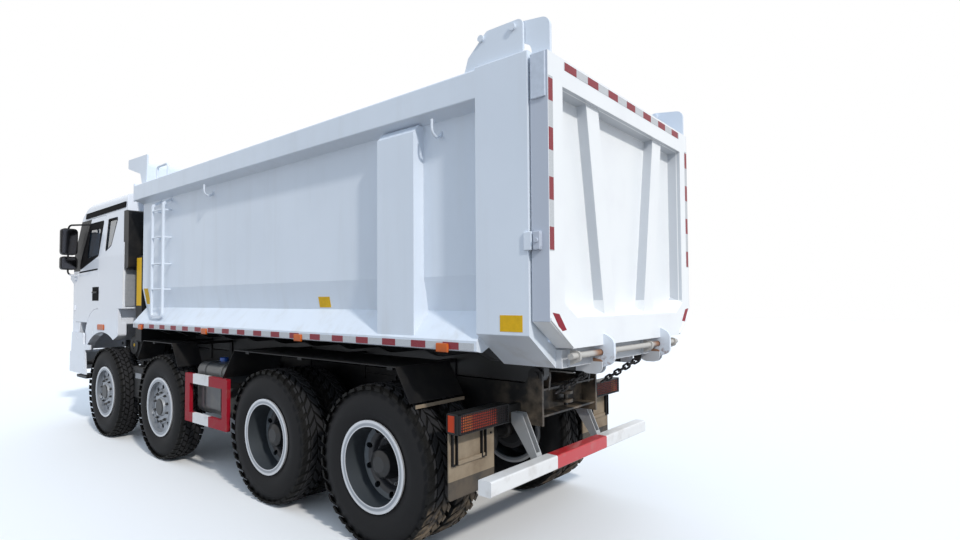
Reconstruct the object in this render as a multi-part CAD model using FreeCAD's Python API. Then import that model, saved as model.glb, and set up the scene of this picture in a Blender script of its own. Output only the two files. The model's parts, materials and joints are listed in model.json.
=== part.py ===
import FreeCAD, Part
import math
import os

# Four-axle dump truck, millimetres. +X is forward, +Y is the truck's left, +Z is up.
# The origin is on the ground, below the middle of the truck's overall length and width.

# ---- driving dimensions ----
front_overhang = 1600    # foremost point to axle 1
rear_overhang = 1600     # axle 4 to the rearmost point
base_12 = 1750           # axle 1 to axle 2
base_23 = 2250
base_34 = 1430
half_width = 1250        # half of the body's width

tyre_r = 613             # outside radius of a 12.00R24 tyre
tyre_w = 300
bead_r = 305             # rim seat radius
rim_flange_r = 345
twin_gap = 30            # between the two tyres of a pair
wheel_out = 1245         # outer tyre wall, from the middle of the truck
run_gap = 0.3            # running clearance of pins, hubs and curved seats
move_gap = 6             # clearance between moving pieces
door_gap = 5

rail_top = 1230          # top of the chassis rails
rail_h = 300
rail_out = 425           # outer face of a rail's web, from the middle
rail_flange = 90
rail_t = 14

gate_reach = 74          # hook plates behind the tailgate's face
gate_depth = 117
gate_gap = 12            # between the tailgate and the body
bed_length = 5847        # rear posts to the front wall's outer face
bed_wall = 12
wall_y = 1130            # outer face of the side sheet
floor_top = 1600
body_top = 3358          # top of the side rails
tilt_x = 650             # bed pivot, from axle 4 back towards the tail: measured from the rearmost point
tilt_z = 1300

cab_half = 1222          # half width of the cab
cab_length = 2100
cab_wall = 45
cab_roof = 3350
cab_floor = 1550         # underside of the cab's floor
cab_skirt = 1250         # lower edge of the front panel
nose_set = 60            # the cab's front behind the bumper's front
fender_set = 668         # the fender's front edge behind the cab's front
fender_top = 1757
fender_r = 487           # rounding of the fender's upper front corner
arch_r = 944             # wheel arch, centred ahead of axle 1 and below it
arch_ahead = 170
arch_z = 489

kingpin_y = 925
steer_arm = 180
axle_z = tyre_r

# ---- derived places ----
total_length = front_overhang + base_12 + base_23 + base_34 + rear_overhang
front_x = total_length / 2
rear_x = -total_length / 2
axle1 = front_x - front_overhang
axle2 = axle1 - base_12
axle3 = axle2 - base_23
axle4 = axle3 - base_34
gate_rear = rear_x + gate_reach
gate_front = gate_rear + gate_depth
bed_rear = gate_front + gate_gap
bed_front = bed_rear + bed_length
pivot_x = rear_x + tilt_x
cab_front = front_x - nose_set
cab_rear = cab_front - cab_length

V = FreeCAD.Vector


# ---- tools ----
def box(x0, x1, y0, y1, z0, z1):
    return Part.makeBox(x1 - x0, y1 - y0, z1 - z0, V(x0, y0, z0))


def corner_wire(points):
    """Closed wire in the plane of u, v. A point (u, v, r) is rounded with radius r."""
    n = len(points)
    ends = []
    for i in range(n):
        p = points[i]
        here = V(p[0], p[1], 0)
        r = p[2] if len(p) > 2 else 0
        if not r:
            ends.append((here, None, here))
            continue
        a = V(*points[i - 1][:2], 0) - here
        b = V(*points[(i + 1) % n][:2], 0) - here
        a.normalize()
        b.normalize()
        half = a.getAngle(b) / 2
        reach = r / math.tan(half)
        mid_dir = a + b
        mid_dir.normalize()
        middle = here + mid_dir * (r / math.sin(half) - r)
        ends.append((here + a * reach, middle, here + b * reach))
    edges = []
    for i in range(n):
        start, middle, end = ends[i]
        if middle is not None:
            edges.append(Part.Arc(start, middle, end).toShape())
        nxt = ends[(i + 1) % n][0]
        if (nxt - end).Length > 1e-6:
            edges.append(Part.LineSegment(end, nxt).toShape())
    return Part.Wire(edges)


def plate_xz(points, y0, y1):
    """A profile in X and Z, carried from y0 to y1."""
    face = Part.Face(corner_wire(points))
    face.rotate(V(0, 0, 0), V(1, 0, 0), 90)
    face.translate(V(0, y0, 0))
    return face.extrude(V(0, y1 - y0, 0))


def plate_yz(points, x0, x1):
    """A profile in Y and Z, carried from x0 to x1."""
    face = Part.Face(corner_wire(points))
    face.Placement = FreeCAD.Placement(V(x0, 0, 0), FreeCAD.Rotation(V(0, 1, 0), V(0, 0, 1), V(1, 0, 0)))
    return face.extrude(V(x1 - x0, 0, 0))


def plate_xy(points, z0, z1):
    """A profile in X and Y, carried from z0 to z1."""
    face = Part.Face(corner_wire(points))
    face.translate(V(0, 0, z0))
    return face.extrude(V(0, 0, z1 - z0))


def rod(a, b, r):
    a = V(*a)
    b = V(*b)
    return Part.makeCylinder(r, (b - a).Length, a, b - a)


def bent_rod(points, r, bend=40):
    """A round bar swept along straight runs joined by arcs of radius bend."""
    spots = [V(*p) for p in points]
    edges = []
    start = spots[0]
    for before, here, after in zip(spots, spots[1:], spots[2:]):
        a = before - here
        b = after - here
        a.normalize()
        b.normalize()
        half = a.getAngle(b) / 2
        reach = bend / math.tan(half)
        inward = a + b
        inward.normalize()
        middle = here + inward * (bend / math.sin(half) - bend)
        edges.append(Part.LineSegment(start, here + a * reach).toShape())
        edges.append(Part.Arc(here + a * reach, middle, here + b * reach).toShape())
        start = here + b * reach
    edges.append(Part.LineSegment(start, spots[-1]).toShape())
    ring = Part.Wire(Part.makeCircle(r, spots[0], spots[1] - spots[0]))
    return Part.Wire(edges).makePipeShell([ring], True, False)


def lathe(points, x, z):
    """A profile of (y, radius) turned about the Y axis through x, z."""
    face = Part.Face(corner_wire([(p[1], p[0]) + tuple(p[2:]) for p in points]))
    solid = face.revolve(V(0, 0, 0), V(0, 1, 0), 360)
    solid.translate(V(x, 0, z))
    return solid


def join(pieces):
    result = pieces[0]
    if len(pieces) > 1:
        result = result.multiFuse(pieces[1:])
    return result.removeSplitter()


def minus(solid, *cuts):
    return solid.cut(list(cuts)).removeSplitter()


def mirrored(shape):
    return shape.mirror(V(0, 0, 0), V(0, 1, 0))


def both(shape):
    return [shape, mirrored(shape)]


def save(node, shapes):
    """Write the node's STEP file, one closed solid for each piece."""
    if not isinstance(shapes, (list, tuple)):
        shapes = [shapes]
    solids = []
    for shape in shapes:
        for solid in shape.Solids:
            if solid.Volume < 0:
                solid = solid.reversed()
            solids.append(solid)
    for solid in solids:
        if not solid.isValid():
            print("not valid:", node)
    whole = solids[0] if len(solids) == 1 else Part.makeCompound(solids)
    whole.exportStep("parts/" + node + ".step")


# ---- chassis: rails, cross-members, tail ----
rail_bottom = rail_top - rail_h
rail_in = rail_out - rail_flange
rail_rear = pivot_x + 80
cab_pivot_x = front_x - 210
cab_pivot_z = 1180
rail_front = cab_pivot_x - 35


def channel(x0, x1):
    section = [(rail_in, rail_bottom), (rail_out, rail_bottom), (rail_out, rail_top), (rail_in, rail_top),
               (rail_in, rail_top - rail_t), (rail_out - rail_t, rail_top - rail_t),
               (rail_out - rail_t, rail_bottom + rail_t), (rail_in, rail_bottom + rail_t)]
    return plate_yz(section, x0, x1)


def make_rails():
    save("frame_rails", both(channel(rail_rear, rail_front)))


def cross_tube(x):
    """A cross-member: a round tube with a plate at each end, seated on the webs inside the rails."""
    web = rail_out - rail_t
    z = rail_bottom + rail_h / 2
    parts = [rod((x, -web, z), (x, web, z), 60)]
    for y in (-web, web - 12):
        parts.append(box(x - 100, x + 100, y, y + 12, rail_bottom + 2 * rail_t, rail_top - 2 * rail_t))
    return join(parts)


cross_x = (axle4 + 350, axle3 - 350, axle3 + 700, axle2 - 850, axle2 + 450, axle1 - 950, axle1 + 1050)


def make_crossmembers():
    tubes = [cross_tube(x) for x in cross_x]
    save("crossmembers", tubes + [tail_beam(), hoist_seat()] + both(bogie_hanger()) + cab_supports())


pivot_pin_r = 30
ear_r = 60
sill_w = 76              # width of a bed longitudinal
sill_out = rail_out - 4
bracket_t = 25
tail_beam_top = rail_top - 30
tail_beam_low = rail_bottom + 60
tow_z = (tail_beam_top + tail_beam_low) / 2


def pivot_bracket(y0, y1, foot_x0, foot_x1, foot_z):
    """A plate that carries the bed's pivot pin, rounded about the pin."""
    lift = tilt_z + 58
    shape = [(foot_x0, foot_z), (foot_x1, foot_z), (pivot_x + 58, tilt_z - 20),
             (pivot_x + 58, lift, 55), (pivot_x - 58, lift, 55), (pivot_x - 58, tilt_z - 20)]
    return plate_xz(shape, y0, y1)


def tail_beam():
    """Closing channel of the frame, open to the rear, with the bed's pivot brackets, pins and a tow pin's jaw."""
    t = rail_t
    beam = plate_xz([(pivot_x - 50, tail_beam_low), (rail_rear, tail_beam_low, 20), (rail_rear, tail_beam_top, 20),
                     (pivot_x - 50, tail_beam_top), (pivot_x - 50, tail_beam_top - t),
                     (rail_rear - t, tail_beam_top - t, 10), (rail_rear - t, tail_beam_low + t, 10),
                     (pivot_x - 50, tail_beam_low + t)], -rail_out, rail_out)
    jaw = plate_xy([(rail_rear - 10, -70), (rail_rear - 10, 70), (pivot_x - 60, 45, 40), (pivot_x - 60, -45, 40)],
                   tow_z - 45, tow_z + 45)
    mouth = box(pivot_x - 100, rail_rear - 55, -80, 80, tow_z - 22, tow_z + 22)
    bolt = rod((pivot_x - 10, 0, tow_z - 70), (pivot_x - 10, 0, tow_z + 70), 16)
    pieces = [beam, minus(jaw, mouth), bolt]
    for side in (1, -1):
        def y_span(a, b):
            return (a, b) if side > 0 else (-b, -a)
        y0, y1 = y_span(rail_out, rail_out + bracket_t)
        pieces.append(pivot_bracket(y0, y1, pivot_x - 60, pivot_x + 300, rail_bottom))
        y0, y1 = y_span(sill_out - sill_w - move_gap - bracket_t, sill_out - sill_w - move_gap)
        pieces.append(pivot_bracket(y0, y1, pivot_x - 50, rail_rear, tail_beam_top - 20))
        y0, y1 = y_span(sill_out - sill_w - move_gap - bracket_t - 12, rail_out + bracket_t + 12)
        pieces.append(rod((pivot_x, y0, tilt_z), (pivot_x, y1, tilt_z), pivot_pin_r))
    return join(pieces)


def cab_supports():
    """Pivot plates with their pins at the front, rests below the cab's rear, and the bumper's arms."""
    plate = plate_xz([(cab_pivot_x - 190, rail_bottom + 20), (cab_pivot_x - 70, rail_bottom + 20, 20),
                      (cab_pivot_x - 32, cab_pivot_z - 60, 20), (cab_pivot_x + 44, cab_pivot_z - 32, 28),
                      (cab_pivot_x + 44, cab_pivot_z + 42, 35), (cab_pivot_x - 30, cab_pivot_z + 50, 20),
                      (cab_pivot_x - 190, rail_top - 20)], rail_out, rail_out + bracket_t)
    pin = rod((cab_pivot_x, rail_out, cab_pivot_z), (cab_pivot_x, rail_out + bracket_t + 40, cab_pivot_z), cab_pin_r)
    rest_x = cab_rear + 200
    rest = box(rest_x, rest_x + 80, rail_in + 10, rail_out - 10, rail_top, cab_floor - run_gap)
    arm = plate_xz([(rail_front - 200, rail_bottom), (rail_front - 200, 830, 20), (front_x - bumper_t / 2, 820),
                    (front_x - bumper_t / 2, 925), (rail_front, rail_bottom)], rail_out - 45, rail_out - 15)
    arm = minus(arm, bumper_volume())
    return both(join([plate, pin])) + both(rest) + both(arm)


cab_pin_r = 25
bumper_t = 46

underrun_z = 680
underrun_x = rear_x + 489
underrun_half = 1244


def make_underrun():
    h = 50
    beam = plate_xz([(underrun_x, underrun_z - h, 12), (underrun_x + 2 * h, underrun_z - h, 12),
                     (underrun_x + 2 * h, underrun_z + h, 12), (underrun_x, underrun_z + h, 12)],
                    -underrun_half, underrun_half)
    top_x = pivot_x + 120
    top_z = rail_bottom + 60
    foot_x = underrun_x + 2 * h
    strut = [(top_x - 45, top_z + 30), (foot_x, underrun_z + 30), (foot_x, underrun_z - 30),
             (foot_x + 25, underrun_z - 30), (top_x + 45, top_z - 50), (top_x + 45, top_z + 30)]
    y0 = rail_out + bracket_t
    plate = plate_xz(strut, y0, y0 + 70)
    groove = plate_xz([(top_x - 60, top_z + 60), (foot_x + 14, underrun_z + 60), (foot_x + 14, underrun_z - 60),
                       (foot_x + 30, underrun_z - 60), (top_x + 36, top_z - 50), (top_x + 36, top_z + 60)],
                      y0 + 10, y0 + 60)
    save("underrun_guard", join([beam] + both(minus(plate, groove))))


# ---- axles, springs, steering ----
beam_drop = 90


def front_beam(x):
    """Forged I-section beam, dropped in the middle, with kingpin bosses."""
    out = kingpin_y
    low = axle_z - beam_drop
    centre = [(-out, axle_z - 40), (-out + 150, axle_z - 40, 60), (-520, low - 40, 90), (520, low - 40, 90),
              (out - 150, axle_z - 40, 60), (out, axle_z - 40), (out, axle_z + 40), (out - 150, axle_z + 40, 60),
              (520, low + 45, 90), (-520, low + 45, 90), (-out + 150, axle_z + 40, 60), (-out, axle_z + 40)]
    web = plate_yz(centre, x - 45, x + 45)
    pieces = [web]
    for y in (-kingpin_y, kingpin_y):
        pieces.append(rod((x, y, axle_z - 58), (x, y, axle_z + 58), 48))
        seat_y = math.copysign(spring_y, y)
        pieces.append(box(x - 75, x + 75, seat_y - 55, seat_y + 55, low + 30, low + 70))
    beam = join(pieces)
    holes = [rod((x, y, axle_z - 80), (x, y, axle_z + 80), 20 + run_gap) for y in (-kingpin_y, kingpin_y)]
    return minus(beam, *holes)


spring_y = 380
spring_w = 90
leaf_t = 16


spring_tip = 60
bogie_rise = 90


def bow_radius(half, rise):
    """Radius of an arc that rises so much over half its chord."""
    return (half ** 2 + rise ** 2) / (2 * rise)


def leaf_pack(x, top_z, half, leaves, rise, up=1):
    """Leaves on circles about one centre, each shorter than the one before; up=-1 arches the pack."""
    radius = bow_radius(half, rise)
    pieces = []
    for i in range(leaves):
        reach = half * (1 - 0.8 * i / leaves)
        inner = radius + i * leaf_t
        outer = inner + leaf_t
        angle = math.asin(reach / (radius + leaf_t * leaves))
        centre_z = top_z + up * radius

        def at(r, a):
            return V(x + r * math.sin(a), centre_z - up * r * math.cos(a), 0)
        wire = Part.Wire([Part.Arc(at(inner, -angle), at(inner, 0), at(inner, angle)).toShape(),
                          Part.LineSegment(at(inner, angle), at(outer, angle)).toShape(),
                          Part.Arc(at(outer, angle), at(outer, 0), at(outer, -angle)).toShape(),
                          Part.LineSegment(at(outer, -angle), at(inner, -angle)).toShape()])
        face = Part.Face(wire)
        face.rotate(V(0, 0, 0), V(1, 0, 0), 90)
        pieces.append(face.extrude(V(0, spring_w, 0)))
    return join(pieces)


def front_spring(x):
    low = axle_z - beam_drop + 70
    leaves = 5
    top = low + leaves * leaf_t
    pack = leaf_pack(x, top, 760, leaves, 130)
    eye_z = top + 130
    eyes = [rod((x + s * 770, 0, eye_z - 6), (x + s * 770, spring_w, eye_z - 6), 34) for s in (1, -1)]
    hangers = []
    for s in (1, -1):
        hx = x + s * 770
        hangers.append(plate_xz([(hx - 60, rail_bottom), (hx + 60, rail_bottom), (hx + 36, eye_z - 30, 25),
                                 (hx - 36, eye_z - 30, 25)], 0, spring_w))
    clamps = [box(x + s * 55 - 12, x + s * 55 + 12, -8, spring_w + 8, low, top + 14) for s in (1, -1)]
    spring = join([pack] + eyes + hangers + clamps)
    spring.translate(V(0, spring_y - spring_w / 2, 0))
    return spring


bogie_x = (axle3 + axle4) / 2
bogie_y = 500
tube_r = 75
spindle_r = 52
duals_in = wheel_out - 2 * tyre_w - twin_gap


def drive_axle(x):
    """Housing with the round differential case in the middle and a spindle at each end."""
    end = duals_in - 60
    spindle_end = wheel_out - 130
    shape = [(-spindle_end, 0), (-spindle_end, spindle_r), (-end, spindle_r), (-end, tube_r + 15),
             (-end + 40, tube_r + 15), (-end + 60, tube_r), (-230, tube_r, 60), (-150, 215, 80), (150, 215, 80),
             (230, tube_r, 60), (end - 60, tube_r), (end - 40, tube_r + 15), (end, tube_r + 15),
             (end, spindle_r), (spindle_end, spindle_r), (spindle_end, 0)]
    case = lathe(shape, x, axle_z)
    nose = lathe_x(x - 10, 300, [(0, 190), (150, 150), (250, 70), (300, 70)])
    radius = bow_radius(base_34 / 2 + spring_tip, bogie_rise) - run_gap
    under = rod((bogie_x, -bogie_y - 100, saddle_top - radius), (bogie_x, bogie_y + 100, saddle_top - radius), radius)
    pads = []
    for side in (1, -1):
        y = side * bogie_y
        pads.append(box(x - 70, x + 70, y - 52, y + 52, axle_z, saddle_top).common(under))
    return join([case, nose] + pads)


def lathe_x(x0, length, points):
    """A profile of (distance, radius) turned about an X axis at axle height, reaching forward from x0."""
    wire = corner_wire([(0, 0)] + [(p[0], p[1]) for p in points] + [(length, 0)])
    solid = Part.Face(wire).revolve(V(0, 0, 0), V(1, 0, 0), 360)
    solid.translate(V(x0, 0, axle_z))
    return solid


def drive_axles():
    """Both driven axles with the short shaft between them."""
    link = rod((axle4 + 280, 0, axle_z), (axle3 - 150, 0, axle_z), 45)
    return join([drive_axle(axle3), drive_axle(axle4), link])


def make_axles():
    save("axles", [front_beam(axle1), front_beam(axle2), drive_axles()])
    springs = [front_spring(axle1), front_spring(axle2), bogie_spring()]
    save("leaf_springs", [piece for spring in springs for piece in both(spring)])


saddle_top = axle_z + tube_r + 135


def bogie_spring():
    """Rear spring over the two axles' pads, with the saddle that turns on the trunnion."""
    pack = leaf_pack(bogie_x, saddle_top, base_34 / 2 + spring_tip, 6, bogie_rise, up=-1)
    pack.translate(V(0, bogie_y - spring_w / 2, 0))
    saddle = box(bogie_x - 110, bogie_x + 110, bogie_y - 55, bogie_y + 55, saddle_top - 120, saddle_top)
    hub = rod((bogie_x, rail_out + 16, saddle_top - 60), (bogie_x, bogie_y + 75, saddle_top - 60), 70)
    return join([pack, saddle, hub])


def bogie_hanger():
    """Trunnion bracket on the rail's web, down to the bogie's cross shaft."""
    shaft_z = saddle_top - 60
    hanger = plate_xz([(bogie_x - 200, rail_top - 60), (bogie_x - 120, shaft_z - 100, 60),
                       (bogie_x + 120, shaft_z - 100, 60), (bogie_x + 200, rail_top - 60)],
                      rail_out, rail_out + 16)
    return hanger


knuckle_gap = 6


def knuckle(x, side):
    """Steering knuckle: fork and kingpin, spindle, brake carrier plate and steering arm."""
    y = kingpin_y
    fork = []
    for s in (1, -1):
        z0 = axle_z + s * (58 + knuckle_gap)
        z1 = z0 + s * 38
        fork.append(rod((x, y, min(z0, z1)), (x, y, max(z0, z1)), 46))
        fork.append(box(x - 40, x + 40, y, y + 78, min(z0, z1), max(z0, z1)))
    reach = 58 + knuckle_gap + 38
    pin = rod((x, y, axle_z - reach), (x, y, axle_z + reach), 20)
    plate = rod((x, y + 58, axle_z), (x, y + 80, axle_z), 105)
    spindle = rod((x, y + 70, axle_z), (x, wheel_out - 80, axle_z), spindle_r - 6)
    arm_z = axle_z - reach
    arm = plate_xy([(x - steer_arm - 30, y - 28, 20), (x + 40, y - 40, 20), (x + 40, y + 40, 20),
                    (x - steer_arm - 30, y + 28, 20)], arm_z - 24, arm_z)
    solid = join(fork + [pin, plate, spindle, arm])
    return solid if side > 0 else mirrored(solid)


def make_steering():
    for number, x in ((1, axle1), (2, axle2)):
        for name, side in (("left", 1), ("right", -1)):
            save("knuckle_%d_%s" % (number, name), knuckle(x, side))


# ---- wheels ----
def tyre(x, y0, side):
    """A tyre from its inner wall y0 outwards: bead, bulged walls, shoulders and a flat tread."""
    w = tyre_w
    seat = bead_r + run_gap
    shape = [(y0 + 28, seat), (y0 + 28, rim_flange_r + 6), (y0 + 14, rim_flange_r + 16), (y0 + 2, 440, 60), (y0 + 14, tyre_r - 60, 60),
             (y0 + 30, tyre_r - 6, 16), (y0 + w / 2, tyre_r), (y0 + w - 30, tyre_r - 6, 16),
             (y0 + w - 14, tyre_r - 60, 60), (y0 + w - 2, 440, 60), (y0 + w - 14, rim_flange_r + 16),
             (y0 + w - 28, rim_flange_r + 6), (y0 + w - 28, seat)]
    solid = lathe(shape, x, axle_z)
    return solid if side > 0 else mirrored(solid)


disc_t = 16
hub_bolt_pcd = 335


def rim_profile(y0):
    """Barrel of one rim with its two flanges; the tyre's bead sits between them."""
    w = tyre_w
    t = 10
    lip = 27 - 2 * run_gap
    return [(y0 + lip - 14, rim_flange_r), (y0 + lip, rim_flange_r), (y0 + lip, bead_r),
            (y0 + w - lip, bead_r), (y0 + w - lip, rim_flange_r), (y0 + w - lip + 14, rim_flange_r),
            (y0 + w - lip + 14, bead_r - t), (y0 + lip - 14, bead_r - t)]


def hand_holes(solid, x, count, pitch_r, hole_r, y0, y1):
    cuts = []
    for i in range(count):
        a = 2 * math.pi * i / count
        cx = x + pitch_r * math.sin(a)
        cz = axle_z + pitch_r * math.cos(a)
        cuts.append(rod((cx, y0, cz), (cx, y1, cz), hole_r))
    return solid.cut(cuts)


def front_rim(x, side):
    """Convex disc near the outer wall, with the hub and brake drum turned in one piece."""
    y0 = wheel_out - tyre_w
    barrel = lathe(rim_profile(y0), x, axle_z)
    face = wheel_out - 62
    disc = lathe([(y0 + tyre_w - 60, bead_r - 4), (face, 205, 40), (face + 18, 195, 14), (face + 18, 0),
                  (face, 0), (face - disc_t, 190, 14), (y0 + tyre_w - 60 - disc_t, bead_r - 20)], x, axle_z)
    disc = hand_holes(disc, x, 10, 232, 27, y0 + 100, wheel_out + 10)
    bore = spindle_r - 6 + run_gap
    spin_end = wheel_out - 80
    hub = lathe([(y0 + 75, bore), (y0 + 75, 190, 12), (face - disc_t - 20, 185, 20), (face - disc_t, 150),
                 (face + 18, 150), (face + 20, 112), (wheel_out - 8, 92, 20), (wheel_out - 8, 0),
                 (spin_end + move_gap, 0), (spin_end + move_gap, bore)], x, axle_z)
    solid = join([barrel, disc, hub])
    return solid if side > 0 else mirrored(solid)


def twin_rim(x, side):
    """Two rims whose discs meet between the tyres, with the hub and brake drum."""
    outer0 = wheel_out - tyre_w
    inner0 = outer0 - twin_gap - tyre_w
    middle = outer0 - twin_gap / 2
    barrels = [lathe(rim_profile(outer0), x, axle_z), lathe(rim_profile(inner0), x, axle_z)]
    dish = lathe([(outer0 + 70, bead_r - 4), (outer0 + 40, 232, 50), (middle, 222, 20), (middle, 150),
                  (middle + disc_t, 150), (middle + disc_t, 215, 20), (outer0 + 52, 222, 50),
                  (outer0 + 86, bead_r - 4)], x, axle_z)
    back = lathe([(inner0 + tyre_w - 70, bead_r - 4), (inner0 + tyre_w - 40, 232, 50), (middle, 222, 20),
                  (middle, 150), (middle - disc_t, 150), (middle - disc_t, 215, 20),
                  (inner0 + tyre_w - 52, 222, 50), (inner0 + tyre_w - 86, bead_r - 4)], x, axle_z)
    dish = hand_holes(dish, x, 10, 262, 24, outer0 - 60, outer0 + 120)
    bore = spindle_r + run_gap
    spin_end = wheel_out - 130
    drum_in = inner0 + 5
    hub = lathe([(drum_in, bore), (drum_in, 205, 12), (middle - disc_t - 40, 200, 20), (middle - disc_t, 165),
                 (middle + disc_t, 165), (middle + disc_t, 135), (spin_end - 60, 128, 20),
                 (spin_end + 20, 105, 14), (spin_end + 40, 60, 10), (spin_end + 40, 0),
                 (spin_end + move_gap, 0), (spin_end + move_gap, bore)], x, axle_z)
    solid = join(barrels + [dish, back, hub])
    return solid if side > 0 else mirrored(solid)


def make_wheels():
    for name, side in (("left", 1), ("right", -1)):
        for number, x in ((1, axle1), (2, axle2)):
            save("tyre_%d_%s" % (number, name), tyre(x, wheel_out - tyre_w, side))
            save("rim_%d_%s" % (number, name), front_rim(x, side))
        for number, x in ((3, axle3), (4, axle4)):
            outer0 = wheel_out - tyre_w
            pair = [tyre(x, outer0, side), tyre(x, outer0 - twin_gap - tyre_w, side)]
            save("tyres_%d_%s" % (number, name), pair)
            save("rims_%d_%s" % (number, name), twin_rim(x, side))


# ---- bed ----
crease_z = 2030          # the side sheet is upright above this
lower_z = 1790
lower_y = 1080
floor_y = 1040
rub_out = half_width
rub_top = 1600
rub_low = 1534
post_len = 388
post_top = body_top + 11
post_low = 1646
keel_y = 940
keel_z = 1432
guard_reach = 470        # cab guard, forward of the front wall
guard_top = 3780
guard_sheet = 20
rail_low = 3125


def tub_section(inset):
    """Half of the sheet's outline in Y and Z, set in by the wall's thickness."""
    return [(wall_y - inset, body_top), (wall_y - inset, crease_z), (lower_y - inset, lower_z),
            (floor_y - inset * 0.8, floor_top - bed_wall + inset)]


def whole_section(half):
    return half + [(-p[0], p[1]) for p in reversed(half)]


def tub_solid():
    outside = plate_yz(whole_section(tub_section(0)), bed_rear, bed_front)
    inside = plate_yz(whole_section([(wall_y - bed_wall, body_top + 50)] + tub_section(bed_wall)[1:]),
                      bed_rear - 10, bed_front - bed_wall)
    return minus(outside, inside)


def front_ribs():
    """Upright ribs on the outside of the front wall."""
    face = bed_front
    ribs = []
    for y in (-900, -450, 450, 900):
        ribs.append(plate_xz([(face - 2, floor_top), (face + 36, floor_top + 40), (face + 36, body_top - 60),
                              (face - 2, body_top - 20)], y - 40, y + 40))
    return ribs


def make_tub():
    save("bed_tub", join([tub_solid()] + front_ribs()))


def rub_rail():
    shape = [(lower_y, lower_z), (rub_out, rub_top), (rub_out, rub_low), (rub_out - 60, rub_low - 12),
             (floor_y - 10, floor_top - bed_wall), (floor_y, floor_top - bed_wall)]
    return plate_yz(shape, bed_rear + post_len, bed_front - 20)


def make_side_rails():
    """Rub rail along the floor, and the box rail along the top of each side."""
    top = plate_yz([(wall_y, body_top), (rub_out, body_top, 14), (rub_out, rail_low + 40, 10), (wall_y, rail_low)],
                   bed_rear + post_len, bed_front)
    cheek = wall_y + guard_sheet
    ends = plate_yz([(cheek, rail_low + 30), (rub_out, rail_low + 30), (rub_out, body_top + 20),
                     (cheek, body_top + 20)], bed_front, bed_front + 26)
    save("side_rails", both(rub_rail()) + both(join([top, ends])))


def make_posts():
    """Rear corner posts that close the section down to the chamfered keel, and a post in each side."""
    rear = plate_yz([(wall_y, post_top), (half_width, post_top, 8), (half_width, post_low, 8), (keel_y, keel_z),
                     (keel_y, floor_top - bed_wall), (floor_y, floor_top - bed_wall), (lower_y, lower_z),
                     (wall_y, crease_z)], bed_rear, bed_rear + post_len)
    mid_x = bed_rear + 945
    rub_slope = (lower_z - rub_top) / (rub_out - lower_y)
    set_in = 12
    mid = plate_yz([(wall_y, rail_low), (wall_y + 50, rail_low), (rub_out - set_in, rail_low - 60),
                    (rub_out - set_in, rub_top + set_in * rub_slope), (lower_y, lower_z), (wall_y, crease_z)], mid_x, mid_x + 373)
    save("side_posts", both(rear) + both(mid))


def make_guard():
    """Cab guard: side cheeks and a canopy sheet that reaches over the cab's rear edge."""
    f = bed_front
    knee = guard_top - 242
    cheek = plate_xz([(f - 120, body_top), (f - 137, guard_top - 20, 10), (f + guard_reach, guard_top, 20),
                      (f + guard_reach, guard_top - 120, 20), (f + 76, knee), (f, body_top)],
                     wall_y, wall_y + guard_sheet)
    sheet = plate_xz([(f - bed_wall, body_top), (f - bed_wall, knee, 60), (f + guard_reach - 12, guard_top - 60),
                      (f + guard_reach - 12, guard_top - 44), (f - 10 - bed_wall, guard_top - 100, 60),
                      (f - 24 - bed_wall, body_top)], -wall_y, wall_y)
    save("cab_guard", join([sheet] + both(cheek)))


beam_low = keel_z - 2


def make_bed_frame():
    """Cross-beams under the floor, two longitudinals with pivot ears, the tail sill and the latch shaft."""
    beams = []
    count = 11
    first = bed_rear + 560
    last = bed_front - 60
    for i in range(count):
        x = first + (last - first) * i / (count - 1)
        beams.append(plate_yz([(-floor_y + 12, floor_top - bed_wall), (-floor_y + 12, beam_low + 90),
                               (-floor_y + 240, beam_low), (floor_y - 240, beam_low), (floor_y - 12, beam_low + 90),
                               (floor_y - 12, floor_top - bed_wall)], x - 35, x + 35))
    low = rail_top + 12
    step = pivot_x - ear_r
    sill = [(step, tilt_z + 60), (pivot_x - ear_r, tilt_z, 0), (pivot_x - 42, tilt_z - 42, 20),
            (pivot_x + 60, low), (bed_front - 30, low), (bed_front - 30, beam_low), (bed_rear + 60, beam_low),
            (bed_rear + 60, tilt_z + 60)]
    solid = plate_xz(sill, sill_out - sill_w, sill_out)
    hole = rod((pivot_x, 0, tilt_z), (pivot_x, half_width, tilt_z), pivot_pin_r + run_gap)
    sills = both(minus(solid, hole))
    tail = plate_yz([(-keel_y, keel_z), (keel_y, keel_z), (keel_y, floor_top - bed_wall - 40),
                     (-keel_y, floor_top - bed_wall - 40)], bed_rear - gate_gap - 30, bed_rear + 100)
    web = plate_yz([(-keel_y, floor_top - bed_wall - 40), (keel_y, floor_top - bed_wall - 40),
                    (keel_y, floor_top - bed_wall), (-keel_y, floor_top - bed_wall)], bed_rear, bed_rear + 100)
    save("bed_frame", join(beams + sills + [tail, web] + latch_shaft()))


shaft_x = rear_x + 100
shaft_z = 1510
shaft_r = 20
hook_y = 520
hook_half = 14
keeper_t = 12


def latch_shaft():
    """Cross shaft of the tailgate latch, carried by lugs on the tail sill."""
    pieces = [rod((shaft_x, -keel_y, shaft_z), (shaft_x, keel_y, shaft_z), shaft_r)]
    for y in (-860, -340, 340, 860):
        pieces.append(plate_xz([(shaft_x - 30, shaft_z - 30, 25), (shaft_x - 30, shaft_z + 30, 25),
                                (bed_rear - gate_gap - 30, shaft_z + 34), (bed_rear - gate_gap - 30, keel_z + 8)],
                               y - 10, y + 10))
    for side in (-hook_y, hook_y):
        for y in (side - hook_half - move_gap - keeper_t, side + hook_half + move_gap):
            pieces.append(latch_keeper(y))
    return pieces


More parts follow.
